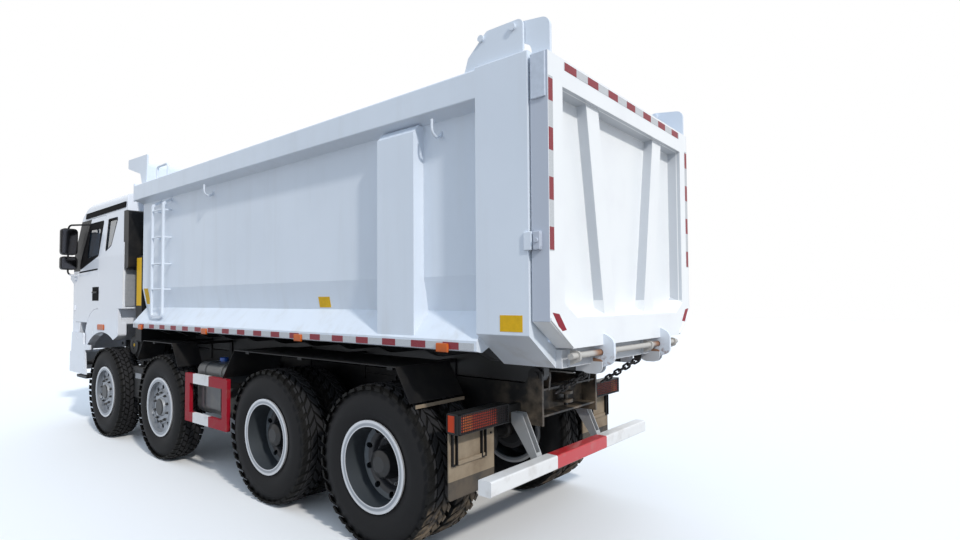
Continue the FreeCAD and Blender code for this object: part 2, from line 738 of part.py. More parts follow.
def latch_keeper(y):
    """Half-moon plate below the tail sill, beside a hook plate of the gate."""
    rear = bed_rear - gate_gap - 30
    low = keel_z - 66
    return plate_xz([(rear + 120, keel_z + 20), (rear + 112, keel_z, 10), (rear + 40, low, 70), (shaft_x - 24, low, 50),
                     (shaft_x - 24, keel_z + 30, 20), (rear, keel_z + 44)], y, y + keeper_t)


ladder_low = 1680


def make_ladder():
    """Ladder on the left side, stood off the wall on brackets, with a grab loop above the rail."""
    x0 = bed_front - 810
    x1 = x0 + 300
    y = half_width - 22
    r = 13
    head = rail_low - 80
    outer = plate_xz([(x0 - r, ladder_low - r, 60), (x1 + r, ladder_low - r, 60), (x1 + r, head), (x0 - r, head)],
                     y - r, y + r)
    inner = plate_xz([(x0 + r, ladder_low + r, 34), (x1 - r, ladder_low + r, 34), (x1 - r, head + 10),
                      (x0 + r, head + 10)], y - r - 5, y + r + 5)
    pieces = [minus(outer, inner)]
    for x in (x0, x1):
        pieces.append(plate_yz([(y - r, head - 20), (y + r, head - 20), (y + r, head, 20), (wall_y, rail_low - 12),
                                (wall_y, rail_low - 42)], x - r, x + r))
    for z in (2010, 2315, 2637, 2966):
        pieces.append(rod((x0, y, z), (x1, y, z), 11))
        for x in (x0, x1):
            pieces.append(box(x - 8, x + 8, wall_y, y, z - 8, z + 8))
    top = body_top
    loop = bent_rod([(x0 - 30, half_width - 60, top), (x0 - 30, half_width - 60, top + 160),
                     (x1 - 40, half_width - 60, top + 160), (x1 - 40, half_width - 60, top)], 14)
    save("bed_ladder", [join(pieces), loop])


hinge_x = bed_rear + 117
hinge_z = 3555
plate_in = 1196
plate_t = 20


def make_hinges():
    """Plates on the rear posts that carry the tailgate's pins, with a gusset bracket ahead of them."""
    low = post_top
    plate = plate_xz([(hinge_x - 70, low), (hinge_x - 70, hinge_z + 40, 40), (hinge_x + 200, hinge_z + 40, 40),
                      (hinge_x + 350, low + 90, 30), (hinge_x + 380, low)], plate_in, plate_in + plate_t)
    pin = rod((hinge_x, plate_in - 60, hinge_z), (hinge_x, plate_in + plate_t + 16, hinge_z), 22)
    fore = rod((hinge_x + 240, plate_in, hinge_z), (hinge_x + 240, plate_in + plate_t + 16, hinge_z), 22)
    save("bed_brackets", both(join([plate, pin, fore])) + hoist_brackets())


chain_y = 380
chain_r = 8
link_pitch = 46
link_half = 17
link_count = 8
chain_start = (bed_rear + 2, keel_z - 44)
chain_lean = 34          # degrees below the level


def chain_link(centre, flat):
    """One long link along X, flat in XY or upright in XZ."""
    reach = link_pitch / 2 + chain_r - link_half
    pieces = []
    for end in (1, -1):
        turn = Part.makeTorus(link_half, chain_r, V(end * reach, 0, 0), V(0, 0, 1), -180, 180, 180)
        turn.rotate(V(end * reach, 0, 0), V(0, 0, 1), -90 if end > 0 else 90)
        pieces.append(turn)
    for y in (link_half, -link_half):
        pieces.append(rod((-reach, y, 0), (reach, y, 0), chain_r))
    link = join(pieces)
    if not flat:
        link.rotate(V(0, 0, 0), V(1, 0, 0), 90)
    link.translate(centre)
    return link


def tail_chain(y):
    """Hanging chain of joined links, below a lug on the tail sill."""
    links = []
    for i in range(link_count):
        links.append(chain_link(V((i + 0.5) * link_pitch, 0, 0), i % 2 == 1))
    run = join(links)
    run.rotate(V(0, 0, 0), V(0, 1, 0), chain_lean)
    run.translate(V(chain_start[0], y, chain_start[1]))
    lug = plate_xz([(chain_start[0] - 30, keel_z), (chain_start[0] - 20, chain_start[1] - 14, 14),
                    (chain_start[0] + 26, chain_start[1] - 14, 14), (chain_start[0] + 36, keel_z)],
                   y - 6, y + 6)
    return join([lug, run])


def make_chains():
    save("tail_chains", [tail_chain(chain_y), tail_chain(-chain_y)])


# ---- tailgate ----
gate_half = 1232
gate_top = 3338
gate_side_low = 1735
gate_keel_y = 955
gate_low = 1562


def gate_outline():
    return [(gate_half, gate_top), (gate_half, gate_side_low), (gate_keel_y, gate_low),
            (-gate_keel_y, gate_low), (-gate_half, gate_side_low), (-gate_half, gate_top)]


def make_tailgate():
    """Framed gate with a recessed sheet, a sloping ledge over the bottom beam and two leaning ribs."""
    body = plate_yz(gate_outline(), gate_rear, gate_front)
    stile = 180
    head = 173
    opening = [(gate_half - stile, gate_top - head), (gate_half - stile, 1840), (gate_keel_y - 60, 1750),
               (-gate_keel_y + 60, 1750), (-gate_half + stile, 1840), (-gate_half + stile, gate_top - head)]
    deep = [(gate_half - stile - 12, gate_top - head - 12), (gate_half - stile - 12, 1885), (gate_keel_y - 80, 1805),
            (-gate_keel_y + 80, 1805), (-gate_half + stile + 12, 1885), (-gate_half + stile + 12, gate_top - head - 12)]

    def wire_at(points, x):
        vectors = [V(x, p[0], p[1]) for p in points]
        return Part.makePolygon(vectors + [vectors[0]])
    recess = Part.makeLoft([wire_at(opening, gate_rear - 1), wire_at(deep, gate_front - bed_wall)], True, True)
    body = minus(body, recess)
    ribs = []
    for side in (1, -1):
        top_y = side * 590
        low_y = side * 345
        w = 90
        ribs.append(plate_yz([(top_y - w, gate_top - head + 5), (top_y + w, gate_top - head + 5),
                              (low_y + w, 1740), (low_y - w, 1740)], gate_rear + 30, gate_front - bed_wall + 2))
    save("tailgate", join([body] + ribs))


def make_gate_arms():
    """Arms from the gate's head to the hinge pins, and the hook plates at the gate's foot."""
    y1 = plate_in - move_gap
    y0 = y1 - 24
    outline = [(gate_rear + 6, gate_top - 260), (gate_rear + 6, hinge_z + 5, 60), (hinge_x + 40, hinge_z + 42, 40),
               (hinge_x + 46, hinge_z - 42, 40), (gate_front + 20, gate_top + 80, 60), (gate_front, gate_top - 20),
               (gate_front, gate_top - 260)]
    arm = plate_xz(outline, y0, y1)
    hole = rod((hinge_x, y0 - 5, hinge_z), (hinge_x, y1 + 5, hinge_z), 22 + run_gap)
    body = plate_yz(gate_outline(), gate_rear, gate_front)
    arms = both(minus(arm, hole, body))
    low = gate_low - 160
    hook = plate_xz([(gate_rear, gate_low + 78, 20), (rear_x, gate_low + 38, 60), (rear_x, low + 40, 60), (gate_rear + 40, low, 40),
                     (gate_rear + 62, low + 40, 10), (gate_rear + 62, gate_low)],
                    hook_y - hook_half, hook_y + hook_half)
    slot_half = shaft_r + move_gap
    slot = join([rod((shaft_x, hook_y - 30, shaft_z), (shaft_x, hook_y + 30, shaft_z), slot_half),
                 box(shaft_x, shaft_x + 100, hook_y - 30, hook_y + 30, shaft_z - slot_half, shaft_z + slot_half)])
    save("gate_fittings", arms + both(minus(hook, slot, body)))


# ---- hoist ----
hoist_out = 250          # trunnion ahead of the front wall
hoist_x = bed_front + hoist_out
hoist_z = 1660
hoist_foot_z = 1080
barrel_r = 100
stage_count = 3
stage_step = 16
eye_half = 60
barrel_top = 3050
barrel_drop = 400        # barrel below its trunnion


def hoist_brackets():
    """A cheek each side of the barrel, on the front wall, with the trunnion's bearing."""
    y0 = 118 + move_gap
    arm = plate_xz([(bed_front, hoist_z + 200), (bed_front, hoist_z - 70), (hoist_x + 20, hoist_z - 55, 50),
                    (hoist_x + 55, hoist_z + 20, 50), (hoist_x - 40, hoist_z + 70, 30)], y0, y0 + 40)
    hole = rod((hoist_x, y0 - 5, hoist_z), (hoist_x, y0 + 50, hoist_z), 32 + run_gap)
    return both(minus(arm, hole))


def make_hoist():
    """Telescopic cylinder that hangs by its trunnions from the bed's front wall; its foot eye meets a chassis pin."""
    bore = barrel_r - 10
    barrel = rod((hoist_x, 0, hoist_z - barrel_drop), (hoist_x, 0, barrel_top), barrel_r)
    collar = box(hoist_x - 112, hoist_x + 112, -118, 118, hoist_z - 50, hoist_z + 50)
    trunnion = rod((hoist_x, -190, hoist_z), (hoist_x, 190, hoist_z), 32)
    hollow = rod((hoist_x, 0, hoist_z - barrel_drop - 10), (hoist_x, 0, barrel_top - 20), bore)
    save("hoist_barrel", minus(join([barrel, collar, trunnion]), hollow))
    for i in range(stage_count):
        outer = bore - run_gap - i * stage_step
        wall = stage_step - run_gap
        low = hoist_z - barrel_drop - 22 * (i + 1)
        top = barrel_top - 40 - 14 * i
        stage = rod((hoist_x, 0, low), (hoist_x, 0, top), outer)
        if i < stage_count - 1:
            stage = minus(stage, rod((hoist_x, 0, low - 5), (hoist_x, 0, top + 5), outer - wall))
        else:
            shank = rod((hoist_x, 0, hoist_foot_z), (hoist_x, 0, low), outer - 4)
            eye = rod((hoist_x, -eye_half, hoist_foot_z), (hoist_x, eye_half, hoist_foot_z), 50)
            stage = join([stage, shank, eye])
        save("hoist_stage_%d" % (i + 1), stage)


def hoist_seat():
    """Cross-beam on the rails' lower flanges that holds the hoist's foot pin between two ears."""
    web = rail_out - rail_t
    low = rail_bottom + rail_t
    high = low + 60
    inner = eye_half + move_gap
    ear = plate_xz([(hoist_x - 80, high - 10), (hoist_x + 80, high - 10), (hoist_x + 45, hoist_foot_z + 45, 40),
                    (hoist_x - 45, hoist_foot_z + 45, 40)], inner, inner + 30)
    hole = rod((hoist_x, 0, hoist_foot_z), (hoist_x, inner + 40, hoist_foot_z), 26)
    base = box(hoist_x - 100, hoist_x + 100, -web, web, low, high)
    return join([base] + both(minus(ear, hole)))


# ---- cab ----
roof_r = 130
door_rear = cab_front - 1210
door_front = cab_front - 235
belt_z = 2340
sill_z = 1552
pillar_top_x = cab_front - 640
window_top = 3050


def cab_profile(inset):
    i = inset
    return [(cab_rear + i, 1770 + i), (cab_rear - 20 + i, 3080, 60), (cab_rear + 90 + i, cab_roof - i, 60),
            (cab_front - 640 - i, cab_roof - i, 160), (cab_front - 330 - i, cab_roof - 190 - i * 0.4, 90),
            (cab_front - i, 2150, 200), (cab_front - i, 1900, 100), (cab_front - 50 - i, cab_skirt + i, 30),
            (cab_front - 380 + i, cab_skirt + i), (cab_front - 480 + i, cab_floor + i, 30),
            (cab_rear + 160 + i, cab_floor + i, 20), (cab_rear + 160 + i, 1770 + i)]


def cab_block(inset):
    """The cab's volume: side profile, cross-section and plan carried through each other."""
    i = inset
    side = plate_xz(cab_profile(inset), -cab_half - 50, cab_half + 50)
    h = cab_half - i
    top = cab_roof + 8 - i
    section = plate_yz([(-h, 1200), (h, 1200), (h, 2500, 300), (h - 75, top, 110), (-h + 75, top, 110),
                        (-h, 2500, 300)], cab_rear - 200, cab_front + 100)
    wide = h + 15
    nose = cab_front - i
    plan = plate_xy([(cab_rear - 30 + i, -wide, 60), (nose - 14, -wide, 205), (nose + 12, 0, 3000),
                     (nose - 14, wide, 205), (cab_rear - 30 + i, wide, 60)], 1200, 3500)
    return side.common(section).common(plan)


fender_rear = cab_rear + 143
fender_front = cab_front - fender_set


def door_outline(gap):
    g = gap
    return [(door_rear + g, sill_z + g, 40), (door_front - g, sill_z + g, 30), (door_front - g, belt_z),
            (pillar_top_x - g, window_top + 60 - g, 50), (door_rear - 130 + g, window_top + 60 - g, 40),
            (door_rear - 40 + g, window_top - 550), (door_rear + g, belt_z)]


def door_volume(gap):
    """The door's outline through the cab's side, less the fender's rounded corner."""
    g = gap
    door = plate_xz(door_outline(g), cab_half - 150, 1400)
    fender = plate_xz([(fender_rear, sill_z - 50), (fender_front + g, sill_z - 50),
                       (fender_front + g, fender_top + g, fender_r + g), (fender_rear, fender_top + g)],
                      cab_half - 160, 1410)
    ledge = box(door_rear - 200, door_front + 50, cab_half - 160, cab_half - 62 + g, sill_z - 60,
                cab_floor + cab_wall + 5 + g)
    return minus(door, fender, ledge)


def make_cab():
    outside = cab_block(0)
    inside = cab_block(cab_wall)
    shell = outside.cut(inside)
    screen = plate_yz([(-1020, 2230, 60), (1020, 2230, 60), (930, 3110, 80), (-930, 3110, 80)],
                      cab_front - 420, cab_front + 50)
    head = window_top - 10
    quarter = both(plate_xz([(cab_rear + 455, head - 400, 50), (door_rear - 195, head - 485, 40),
                             (door_rear - 195, head, 40), (cab_rear + 300, head, 40)], cab_half - 150, 1400))
    doors = both(door_volume(0))
    side_cut = quarter + doors
    skin = outside.cut(cab_block(grille_depth))
    slots = [slot.common(skin) for slot in grille_slots()]
    body = minus(shell, screen, *side_cut)
    body = minus(body, *slots, *both(hinge_pins(hinge_knuckle_r + run_gap)))
    pieces = [body, front_skirt()] + both(fender_panel()) + both(corner_pod()) + cab_lugs()
    save("cab_shell", join(pieces))

    panel = shell.common(door_volume(door_gap))
    window = plate_xz([(door_rear + 25, head - 520, 50), (door_front - 150, belt_z - 5, 40),
                       (pillar_top_x - 50, head, 50), (door_rear - 60, head, 40)], 900, 1400)
    left = join([minus(panel, window), mirror_set(), hinge_pins(hinge_knuckle_r)])
    save("door_left", left)
    save("door_right", mirrored(left))

    thin = cab_block(18).cut(cab_block(24))
    glass = thin.common(window)
    save("door_glass_left", glass)
    save("door_glass_right", mirrored(glass))
    save("cab_glass", [thin.common(pane) for pane in [screen] + quarter])


def make_cab_inside():
    """Dash, two seats and the steering wheel."""
    top = cab_floor + cab_wall
    dash = plate_xz([(cab_front - 520, 1960, 60), (cab_front - 220, 2060, 60), (cab_front, 2060), (cab_front, 1640),
                     (cab_front - 330, 1640, 60)], -1120, 1120)
    seats = []
    for y in (wheel_y, -wheel_y):
        x = seat_x
        base = box(x - 200, x + 200, y - 180, y + 180, top, top + 250)
        cushion = plate_xz([(x - 260, top + 250, 30), (x + 260, top + 250, 60), (x + 260, top + 390, 60),
                            (x - 260, top + 370, 30)], y - 260, y + 260)
        back = plate_xz([(x - 300, top + 300, 50), (x - 170, top + 340, 50), (x - 300, top + 1050, 60),
                         (x - 420, top + 1010, 60)], y - 250, y + 250)
        seats.append(join([base, cushion, back]))
    dash = dash.common(cab_block(cab_wall + run_gap))
    save("cab_inside", [join([dash, steering_column()])] + seats)


seat_x = cab_front - 1150
wheel_x = cab_front - 640
wheel_z = 2130
wheel_y = 650
column_lean = 32         # degrees from upright


def column_axis():
    return V(-math.sin(math.radians(column_lean)), 0, math.cos(math.radians(column_lean)))


def steering_column():
    axis = column_axis()
    top = V(wheel_x, wheel_y, wheel_z) - axis * (30 + run_gap)
    return Part.makeCylinder(38, 300, top - axis * 300, axis)


def make_steering_wheel():
    axis = column_axis()
    centre = V(wheel_x, wheel_y, wheel_z)
    rim = Part.makeTorus(225, 16, centre, axis)
    hub = Part.makeCylinder(60, 40, centre - axis * 30, axis)
    side = V(0, 1, 0)
    fore = axis.cross(side)
    spokes = []
    for direction in (side, side * -1, fore):
        spoke = Part.makeCylinder(13, 215, centre, direction)
        spokes.append(spoke)
    save("steering_wheel", join([rim, hub] + spokes))


def fender_panel():
    """Painted fender over the front wheel: a rounded corner ahead, the wheel arch cut below."""
    y0 = cab_half - 110
    sheet = plate_xz([(fender_rear, fender_top), (fender_rear, 1400, 40), (fender_rear + 200, 1330),
                      (fender_front, 1110), (fender_front, fender_top, fender_r)], y0, cab_half)
    arch = rod((axle1 + arch_ahead, y0 - 5, arch_z), (axle1 + arch_ahead, cab_half + 5, arch_z), arch_r)
    back = box(fender_rear - 5, fender_front + 5, y0 - 5, cab_half - 40, cab_floor + 15, fender_top + 5)
    return minus(sheet, arch, back)


def grille_slots():
    """Long openings in the front panel, wider towards the top."""
    slots = []
    for i in range(4):
        low = 1340 + i * 150
        half = 560 + i * 60
        slots.append(plate_yz([(-half, low, 30), (half, low, 30), (half + 24, low + 84, 30), (-half - 24, low + 84, 30)],
                              cab_front - 110, cab_front + 50))
    return slots


def corner_pod():
    """Air guide at the cab's front corner, below the mirrors."""
    return plate_xz([(cab_front - 150, 2130, 20), (cab_front - 60, 2180, 20), (cab_front + 20, 2215, 15),
                     (cab_front + 20, 2275, 15), (cab_front - 150, 2290, 20)], cab_half - 130, cab_half - 2)


grille_depth = 25
hinge_knuckle_r = 16
hinge_knuckle_h = 70


def hinge_pins(r):
    """Two round knuckles of radius r on the left door's turning axis."""
    y = cab_half + 3
    extra = r - hinge_knuckle_r
    pins = []
    for z in (1740, 2180):
        pins.append(rod((door_front, y, z - extra), (door_front, y, z + hinge_knuckle_h + extra), r))
    return join(pins)


def front_skirt():
    """Thin lip below the cab's front panel that closes the gap above the bumper."""
    x = cab_front - 50
    low = skirt_low
    outer = plate_xy([(x - 185, -cab_half + 1), (x, -cab_half + 1, 160), (x, cab_half - 1, 160),
                      (x - 185, cab_half - 1)], low, cab_skirt + 20)
    t = skirt_t
    inner = plate_xy([(x - 195, -cab_half + t), (x - t, -cab_half + t, 120), (x - t, cab_half - t, 120),
                      (x - 195, cab_half - t)], low - 10, cab_skirt + 30)
    return minus(outer, inner)


skirt_t = 45
skirt_low = cab_pivot_z - 65


def cab_lugs():
    """Lugs below the cab's floor that turn on the pivot pins."""
    lugs = []
    for side in (1, -1):
        y0 = rail_out + bracket_t + move_gap
        lug = plate_xz([(cab_pivot_x - 60, cab_floor), (cab_pivot_x - 50, cab_pivot_z - 50, 45),
                        (cab_pivot_x + 50, cab_pivot_z - 50, 45), (cab_pivot_x + 60, cab_skirt),
                        (cab_pivot_x + 60, cab_floor)], y0, y0 + 25)
        hole = rod((cab_pivot_x, y0 - 5, cab_pivot_z), (cab_pivot_x, y0 + 40, cab_pivot_z), cab_pin_r + run_gap)
        lug = minus(lug, hole, cab_block(0))
        lugs.append(lug if side > 0 else mirrored(lug))
    return lugs


def make_air_intake():
    snorkel = plate_xz([(cab_rear - 140, 2310, 40), (cab_rear + 20, 2290), (cab_rear + 20, 3085),
                        (cab_rear - 140, 3085, 60)], 900, cab_half - 14)
    save("air_intake", minus(snorkel, cab_block(0)))


def mirror_housing(z0, z1, corner):
    """Rounded housing, bowed towards the front."""
    x = door_front - 180
    y0 = cab_half + 35
    y1 = cab_half + 265
    face = plate_yz([(y0, z0, corner), (y1, z0, corner), (y1, z1, corner), (y0, z1, corner)], x - 5, x + 140)
    bow = plate_xy([(x, y0 - 5), (x + 80, y0 - 5, 60), (x + 132, (y0 + y1) / 2, 110), (x + 80, y1 + 5, 60),
                    (x, y1 + 5)], z0 - 5, z1 + 5)
    return face.common(bow)


def mirror_set():
    x = door_front - 120
    y = cab_half + 150
    upper = bent_rod([(pillar_top_x - 35, cab_half - 62, 3030), (x, y, 3030), (x, y, 2900)], 13, 60)
    lower = bent_rod([(x + 10, cab_half - 20, 2270), (x, y, 2270), (x, y, 2420)], 13, 60)
    between = rod((x, y, 2500), (x, y, 2620), 13)
    return join([mirror_housing(2575, 2975, 55), mirror_housing(2350, 2550, 50), upper, lower, between])


# ---- front of the chassis ----
def bumper_volume():
    """Bowed shell, open at the back, with short sides."""
    h = half_width
    t_side = 20
    reach = bumper_reach
    low = bumper_low
    high = bumper_side_top
    outer = plate_xy([(front_x - reach, -h), (front_x - 40, -h, 150), (front_x, -600, 900), (front_x, 600, 900),
                      (front_x - 40, h, 150), (front_x - reach, h)], low, high)
    inner = plate_xy([(front_x - reach - 5, -h + t_side), (front_x - 40 - bumper_t, -h + t_side, 120),
                      (front_x - bumper_t, -600, 860), (front_x - bumper_t, 600, 860),
                      (front_x - 40 - bumper_t, h - t_side, 120), (front_x - reach - 5, h - t_side)],
                     low - 10, high + 10)
    side = plate_xz([(front_x + 10, low - 5), (front_x - 885, low - 5), (front_x - 825, lip_z - 12, 30),
                     (front_x - reach, lip_z, 8), (front_x - reach, lip_z + 68, 8), (front_x - 765, lip_z + 74, 20),
                     (front_x - 765, high, 25), (front_x - 250, high, 25), (front_x - 215, bumper_top, 20),
                     (front_x + 10, bumper_top)], -h - 10, h + 10)
    return minus(outer, inner).common(side)


bumper_reach = 1040
bumper_side_top = 1400
lip_z = 1162             # rearward lip of the bumper's side, over the wheel
bumper_low = 790
bumper_top = cab_pivot_z - 85


def head_lamp_box(gap):
    g = gap
    return plate_yz([(760 + g, 915 + g, 20), (1120 - g, 915 + g, 20), (1120 - g, 1060 - g, 30),
                     (760 + g, 1060 - g, 30)], front_x - 200, front_x + 50)


def make_bumper():
    lamp = head_lamp_box(0)
    save("bumper", minus(bumper_volume(), lamp, mirrored(lamp)))
    x0 = front_x - 840
    x1 = front_x - 510
    upper = plate_xz([(x0, 930, 20), (x1, 930, 20), (x1, 970), (x0, 970)], 940, half_width - 30)
    lower = plate_xz([(x0 + 20, 720, 20), (x1 + 110, 720, 20), (x1 + 110, 760), (x0 + 20, 760)], 960, half_width - 30)
    cheek = plate_xz([(x0 + 60, 730), (x1 - 10, 730), (x1 - 10, 960), (x0 + 20, 960)], 940, 970)
    arm = box(x0 + 100, x0 + 180, rail_out, 950, 935, 965)
    save("cab_steps", both(join([upper, lower, cheek, arm])))


def make_engine():
    low = rail_bottom - 190
    top = 1490
    block = plate_yz([(-230, low + 130), (-150, low, 30), (150, low, 30), (230, low + 130), (320, 1250),
                      (300, top, 60), (-300, top, 60), (-320, 1250)], axle1 - 380, axle1 + 830)
    gearbox = lathe_x(axle1 - 570, 200, [(0, 90), (60, 110), (190, 190), (200, 190)])
    gearbox.translate(V(0, 0, 140))
    start = V(axle1 - 560, 0, axle_z + 110)
    end = V(axle3 - 10 + 300, 0, axle_z)
    shaft = Part.makeCylinder(45, (end - start).Length, start, end - start)
    face = box(end.x - 300, end.x, -200, 200, 300, 1000)
    mounts = [box(x, x + 120, -rail_out + rail_t, rail_out - rail_t, 1100, 1160) for x in (axle1 - 200, axle1 + 560)]
    save("driveline", minus(join([block, gearbox, shaft] + mounts), face))


def make_tanks():
    """Fuel tank behind the side guard, battery box, air filter and the hoist's oil tank, all on the left."""
    y0 = rail_out
    x0 = axle3 + 870
    x1 = axle2 - 750
    low = 640
    top = 1190
    fuel = plate_yz([(y0 + 60, low, 60), (1130, low, 90), (1130, top, 90), (y0 + 60, top, 60)], x0, x1)
    straps = []
    for x in (x0 + 110, x1 - 170):
        strap = plate_yz([(y0, low - 8), (1138, low - 8, 96), (1138, top + 8, 96), (y0, top + 8)], x, x + 60)
        straps.append(strap)
    save("fuel_tank", join([fuel] + straps))

    x0 = axle2 + 705
    box_low = 600
    box_top = 1020
    case = plate_yz([(620, box_low, 20), (1120, box_low, 20), (1120, box_top, 30), (620, box_top, 30)], x0, x0 + 310)
    lid = plate_yz([(610, box_top - 60), (1130, box_top - 60), (1130, box_top, 30), (610, box_top, 30)],
                   x0 - 6, x0 + 316)
    arm = box(x0 + 60, x0 + 200, rail_out, 640, box_top - 90, box_top - 30)
    save("battery_box", join([case, lid, arm]))

    cx = axle1 - 570
    cz = 1280
    r = 170
    y0 = 620
    ribs = [(y0, 0), (y0, r - 30, 20)]
    for i in range(5):
        y = y0 + 40 + i * 70
        ribs += [(y, r - 14), (y + 8, r), (y + 42, r), (y + 50, r - 14)]
    ribs += [(y0 + 410, r - 14), (y0 + 440, r - 60, 20), (y0 + 440, 0)]
    filter_can = Part.Face(corner_wire([(q[1], q[0]) + tuple(q[2:]) for q in ribs]))
    filter_can = filter_can.revolve(V(0, 0, 0), V(0, 1, 0), 360)
    filter_can.translate(V(cx, 0, cz))
    arm = box(cx - 60, cx + 60, rail_out, y0 + 60, cz - 150, cz - 90)
    save("air_filter", join([filter_can, arm]))

    x0 = bed_front + 50
    tank = plate_yz([(560, 1330, 30), (1120, 1330, 30), (1120, 2480, 60), (560, 2480, 60)], x0, x0 + 185)
    foot = plate_yz([(rail_out, rail_top - 120), (600, 1240), (1000, 1335), (rail_out, 1335)], x0 + 30, x0 + 150)
    save("oil_tank", join([tank, foot]))


guard_low = 550
guard_high = 1075
guard_y = 1190
guard_bar = 105


def make_side_guards():
    """Open frame between axles 2 and 3 on each side, on two stays from the rail."""
    x0 = axle3 + 690
    x1 = axle2 - 655
    b = guard_bar
    outer = plate_xz([(x0, guard_low, 12), (x1, guard_low, 12), (x1, guard_high, 12), (x0, guard_high, 12)],
                     guard_y, guard_y + 40)
    inner = plate_xz([(x0 + b, guard_low + b), (x1 - b, guard_low + b), (x1 - b, guard_high - b),
                      (x0 + b, guard_high - b)], guard_y - 5, guard_y + 45)
    frame = minus(outer, inner)
    stays = [box(x, x + 40, rail_out, guard_y, 980, 1020) for x in (x0 + 20, x1 - 60)]
    save("side_guards", both(join([frame] + stays)))


skin = 6
guard_line = 1380


def fender(points, y0, y1, stay_x):
    """Bent sheet over the wheels, on flat stays that rise from the rail's web."""
    lower = [(p[0], p[1] - skin) for p in points]
    sheet = plate_xz(points + lower[::-1], y0, y1)
    stays = []
    for x in stay_x:
        stays.append(box(x - 30, x + 30, rail_out, y1 - 60, guard_line - skin - 30, guard_line - skin))
        stays.append(box(x - 30, x + 30, rail_out, rail_out + 12, rail_top - 120, guard_line - skin))
    return join([sheet] + stays)


def make_mudguards():
    top = guard_line
    rear = fender([(axle4 - 415, 1135), (axle4 - 270, top), (axle3 + 540, top), (axle3 + 760, 1090)], 630, 1240,
                  (axle4 - 150, bogie_x + 260, axle3 + 400))
    front = fender([(axle2 - 480, 1126), (axle2 - 330, top), (axle2 + 470, top), (axle2 + 640, 1140)], 940, 1236,
                   (axle2 - 220, axle2 + 300))
    save("mudguards", both(rear) + both(front))


lamp_low = 975
lamp_high = 1112
lamp_rear = axle4 - 850
lamp_front = lamp_rear + 98
flap_t = 10
flap_low = 520


def make_flaps():
    """Rubber flaps behind the last wheels and behind the first."""
    rear = plate_yz([(700, lamp_high - 30), (1220, lamp_high - 30), (1220, flap_low, 20), (700, flap_low, 20)],
                    lamp_front, lamp_front + flap_t)
    save("mud_flaps", both(rear))


def make_lamps():
    """Tail lamp boxes on arms from the pivot plates, and head lamps let into the bumper."""
    tail = plate_xz([(lamp_rear, lamp_low, 12), (lamp_front, lamp_low, 12), (lamp_front, lamp_high, 12),
                     (lamp_rear, lamp_high, 12)], 668, 1240)
    arm = box(lamp_rear + 25, lamp_rear + 75, rail_out + bracket_t, 680, lamp_low + 60, lamp_low + 110)
    head = bumper_volume().common(head_lamp_box(run_gap))
    save("lamps", both(join([tail, arm])) + both(head))


make_steps = (make_rails, make_crossmembers, make_underrun, make_axles, make_steering,
              make_wheels, make_tub, make_side_rails, make_posts, make_guard, make_bed_frame,
              make_ladder, make_hinges, make_chains, make_tailgate, make_gate_arms, make_hoist,
              make_cab, make_cab_inside, make_steering_wheel, make_air_intake, make_bumper, make_engine,
              make_tanks, make_side_guards, make_mudguards, make_flaps, make_lamps)

os.makedirs("parts", exist_ok=True)
for step in make_steps:
    step()
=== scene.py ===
import json
import math

import bpy
import numpy as np
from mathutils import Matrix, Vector


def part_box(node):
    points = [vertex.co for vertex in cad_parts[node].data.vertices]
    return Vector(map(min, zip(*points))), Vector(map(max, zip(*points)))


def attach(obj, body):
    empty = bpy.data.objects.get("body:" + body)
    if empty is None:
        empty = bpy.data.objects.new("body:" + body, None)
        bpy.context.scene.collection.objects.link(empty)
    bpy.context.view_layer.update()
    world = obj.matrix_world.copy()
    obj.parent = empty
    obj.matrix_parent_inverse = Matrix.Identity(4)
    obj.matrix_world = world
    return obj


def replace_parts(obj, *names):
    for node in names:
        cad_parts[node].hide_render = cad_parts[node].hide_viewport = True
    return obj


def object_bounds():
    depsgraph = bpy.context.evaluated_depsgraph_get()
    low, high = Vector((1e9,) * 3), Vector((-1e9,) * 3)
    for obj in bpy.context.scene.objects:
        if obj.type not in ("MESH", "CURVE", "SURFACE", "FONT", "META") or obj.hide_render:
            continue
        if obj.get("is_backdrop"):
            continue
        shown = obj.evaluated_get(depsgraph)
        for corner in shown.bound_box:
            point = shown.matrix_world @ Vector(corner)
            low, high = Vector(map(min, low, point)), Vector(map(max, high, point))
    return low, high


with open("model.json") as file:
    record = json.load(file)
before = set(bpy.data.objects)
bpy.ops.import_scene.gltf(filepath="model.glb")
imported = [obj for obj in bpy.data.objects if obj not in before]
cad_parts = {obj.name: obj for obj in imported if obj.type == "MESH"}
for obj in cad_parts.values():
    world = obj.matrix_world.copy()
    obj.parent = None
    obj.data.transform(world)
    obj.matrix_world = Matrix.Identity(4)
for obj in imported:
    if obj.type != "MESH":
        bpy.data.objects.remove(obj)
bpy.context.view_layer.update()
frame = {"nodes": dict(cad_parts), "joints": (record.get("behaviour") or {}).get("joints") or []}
nodes = frame["nodes"]
joints = {joint["name"]: joint for joint in frame["joints"]}
print("frame loaded:", len(nodes), "nodes")


def lowOf(name):
    return Vector(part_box(name)[0])


def highOf(name):
    return Vector(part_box(name)[1])


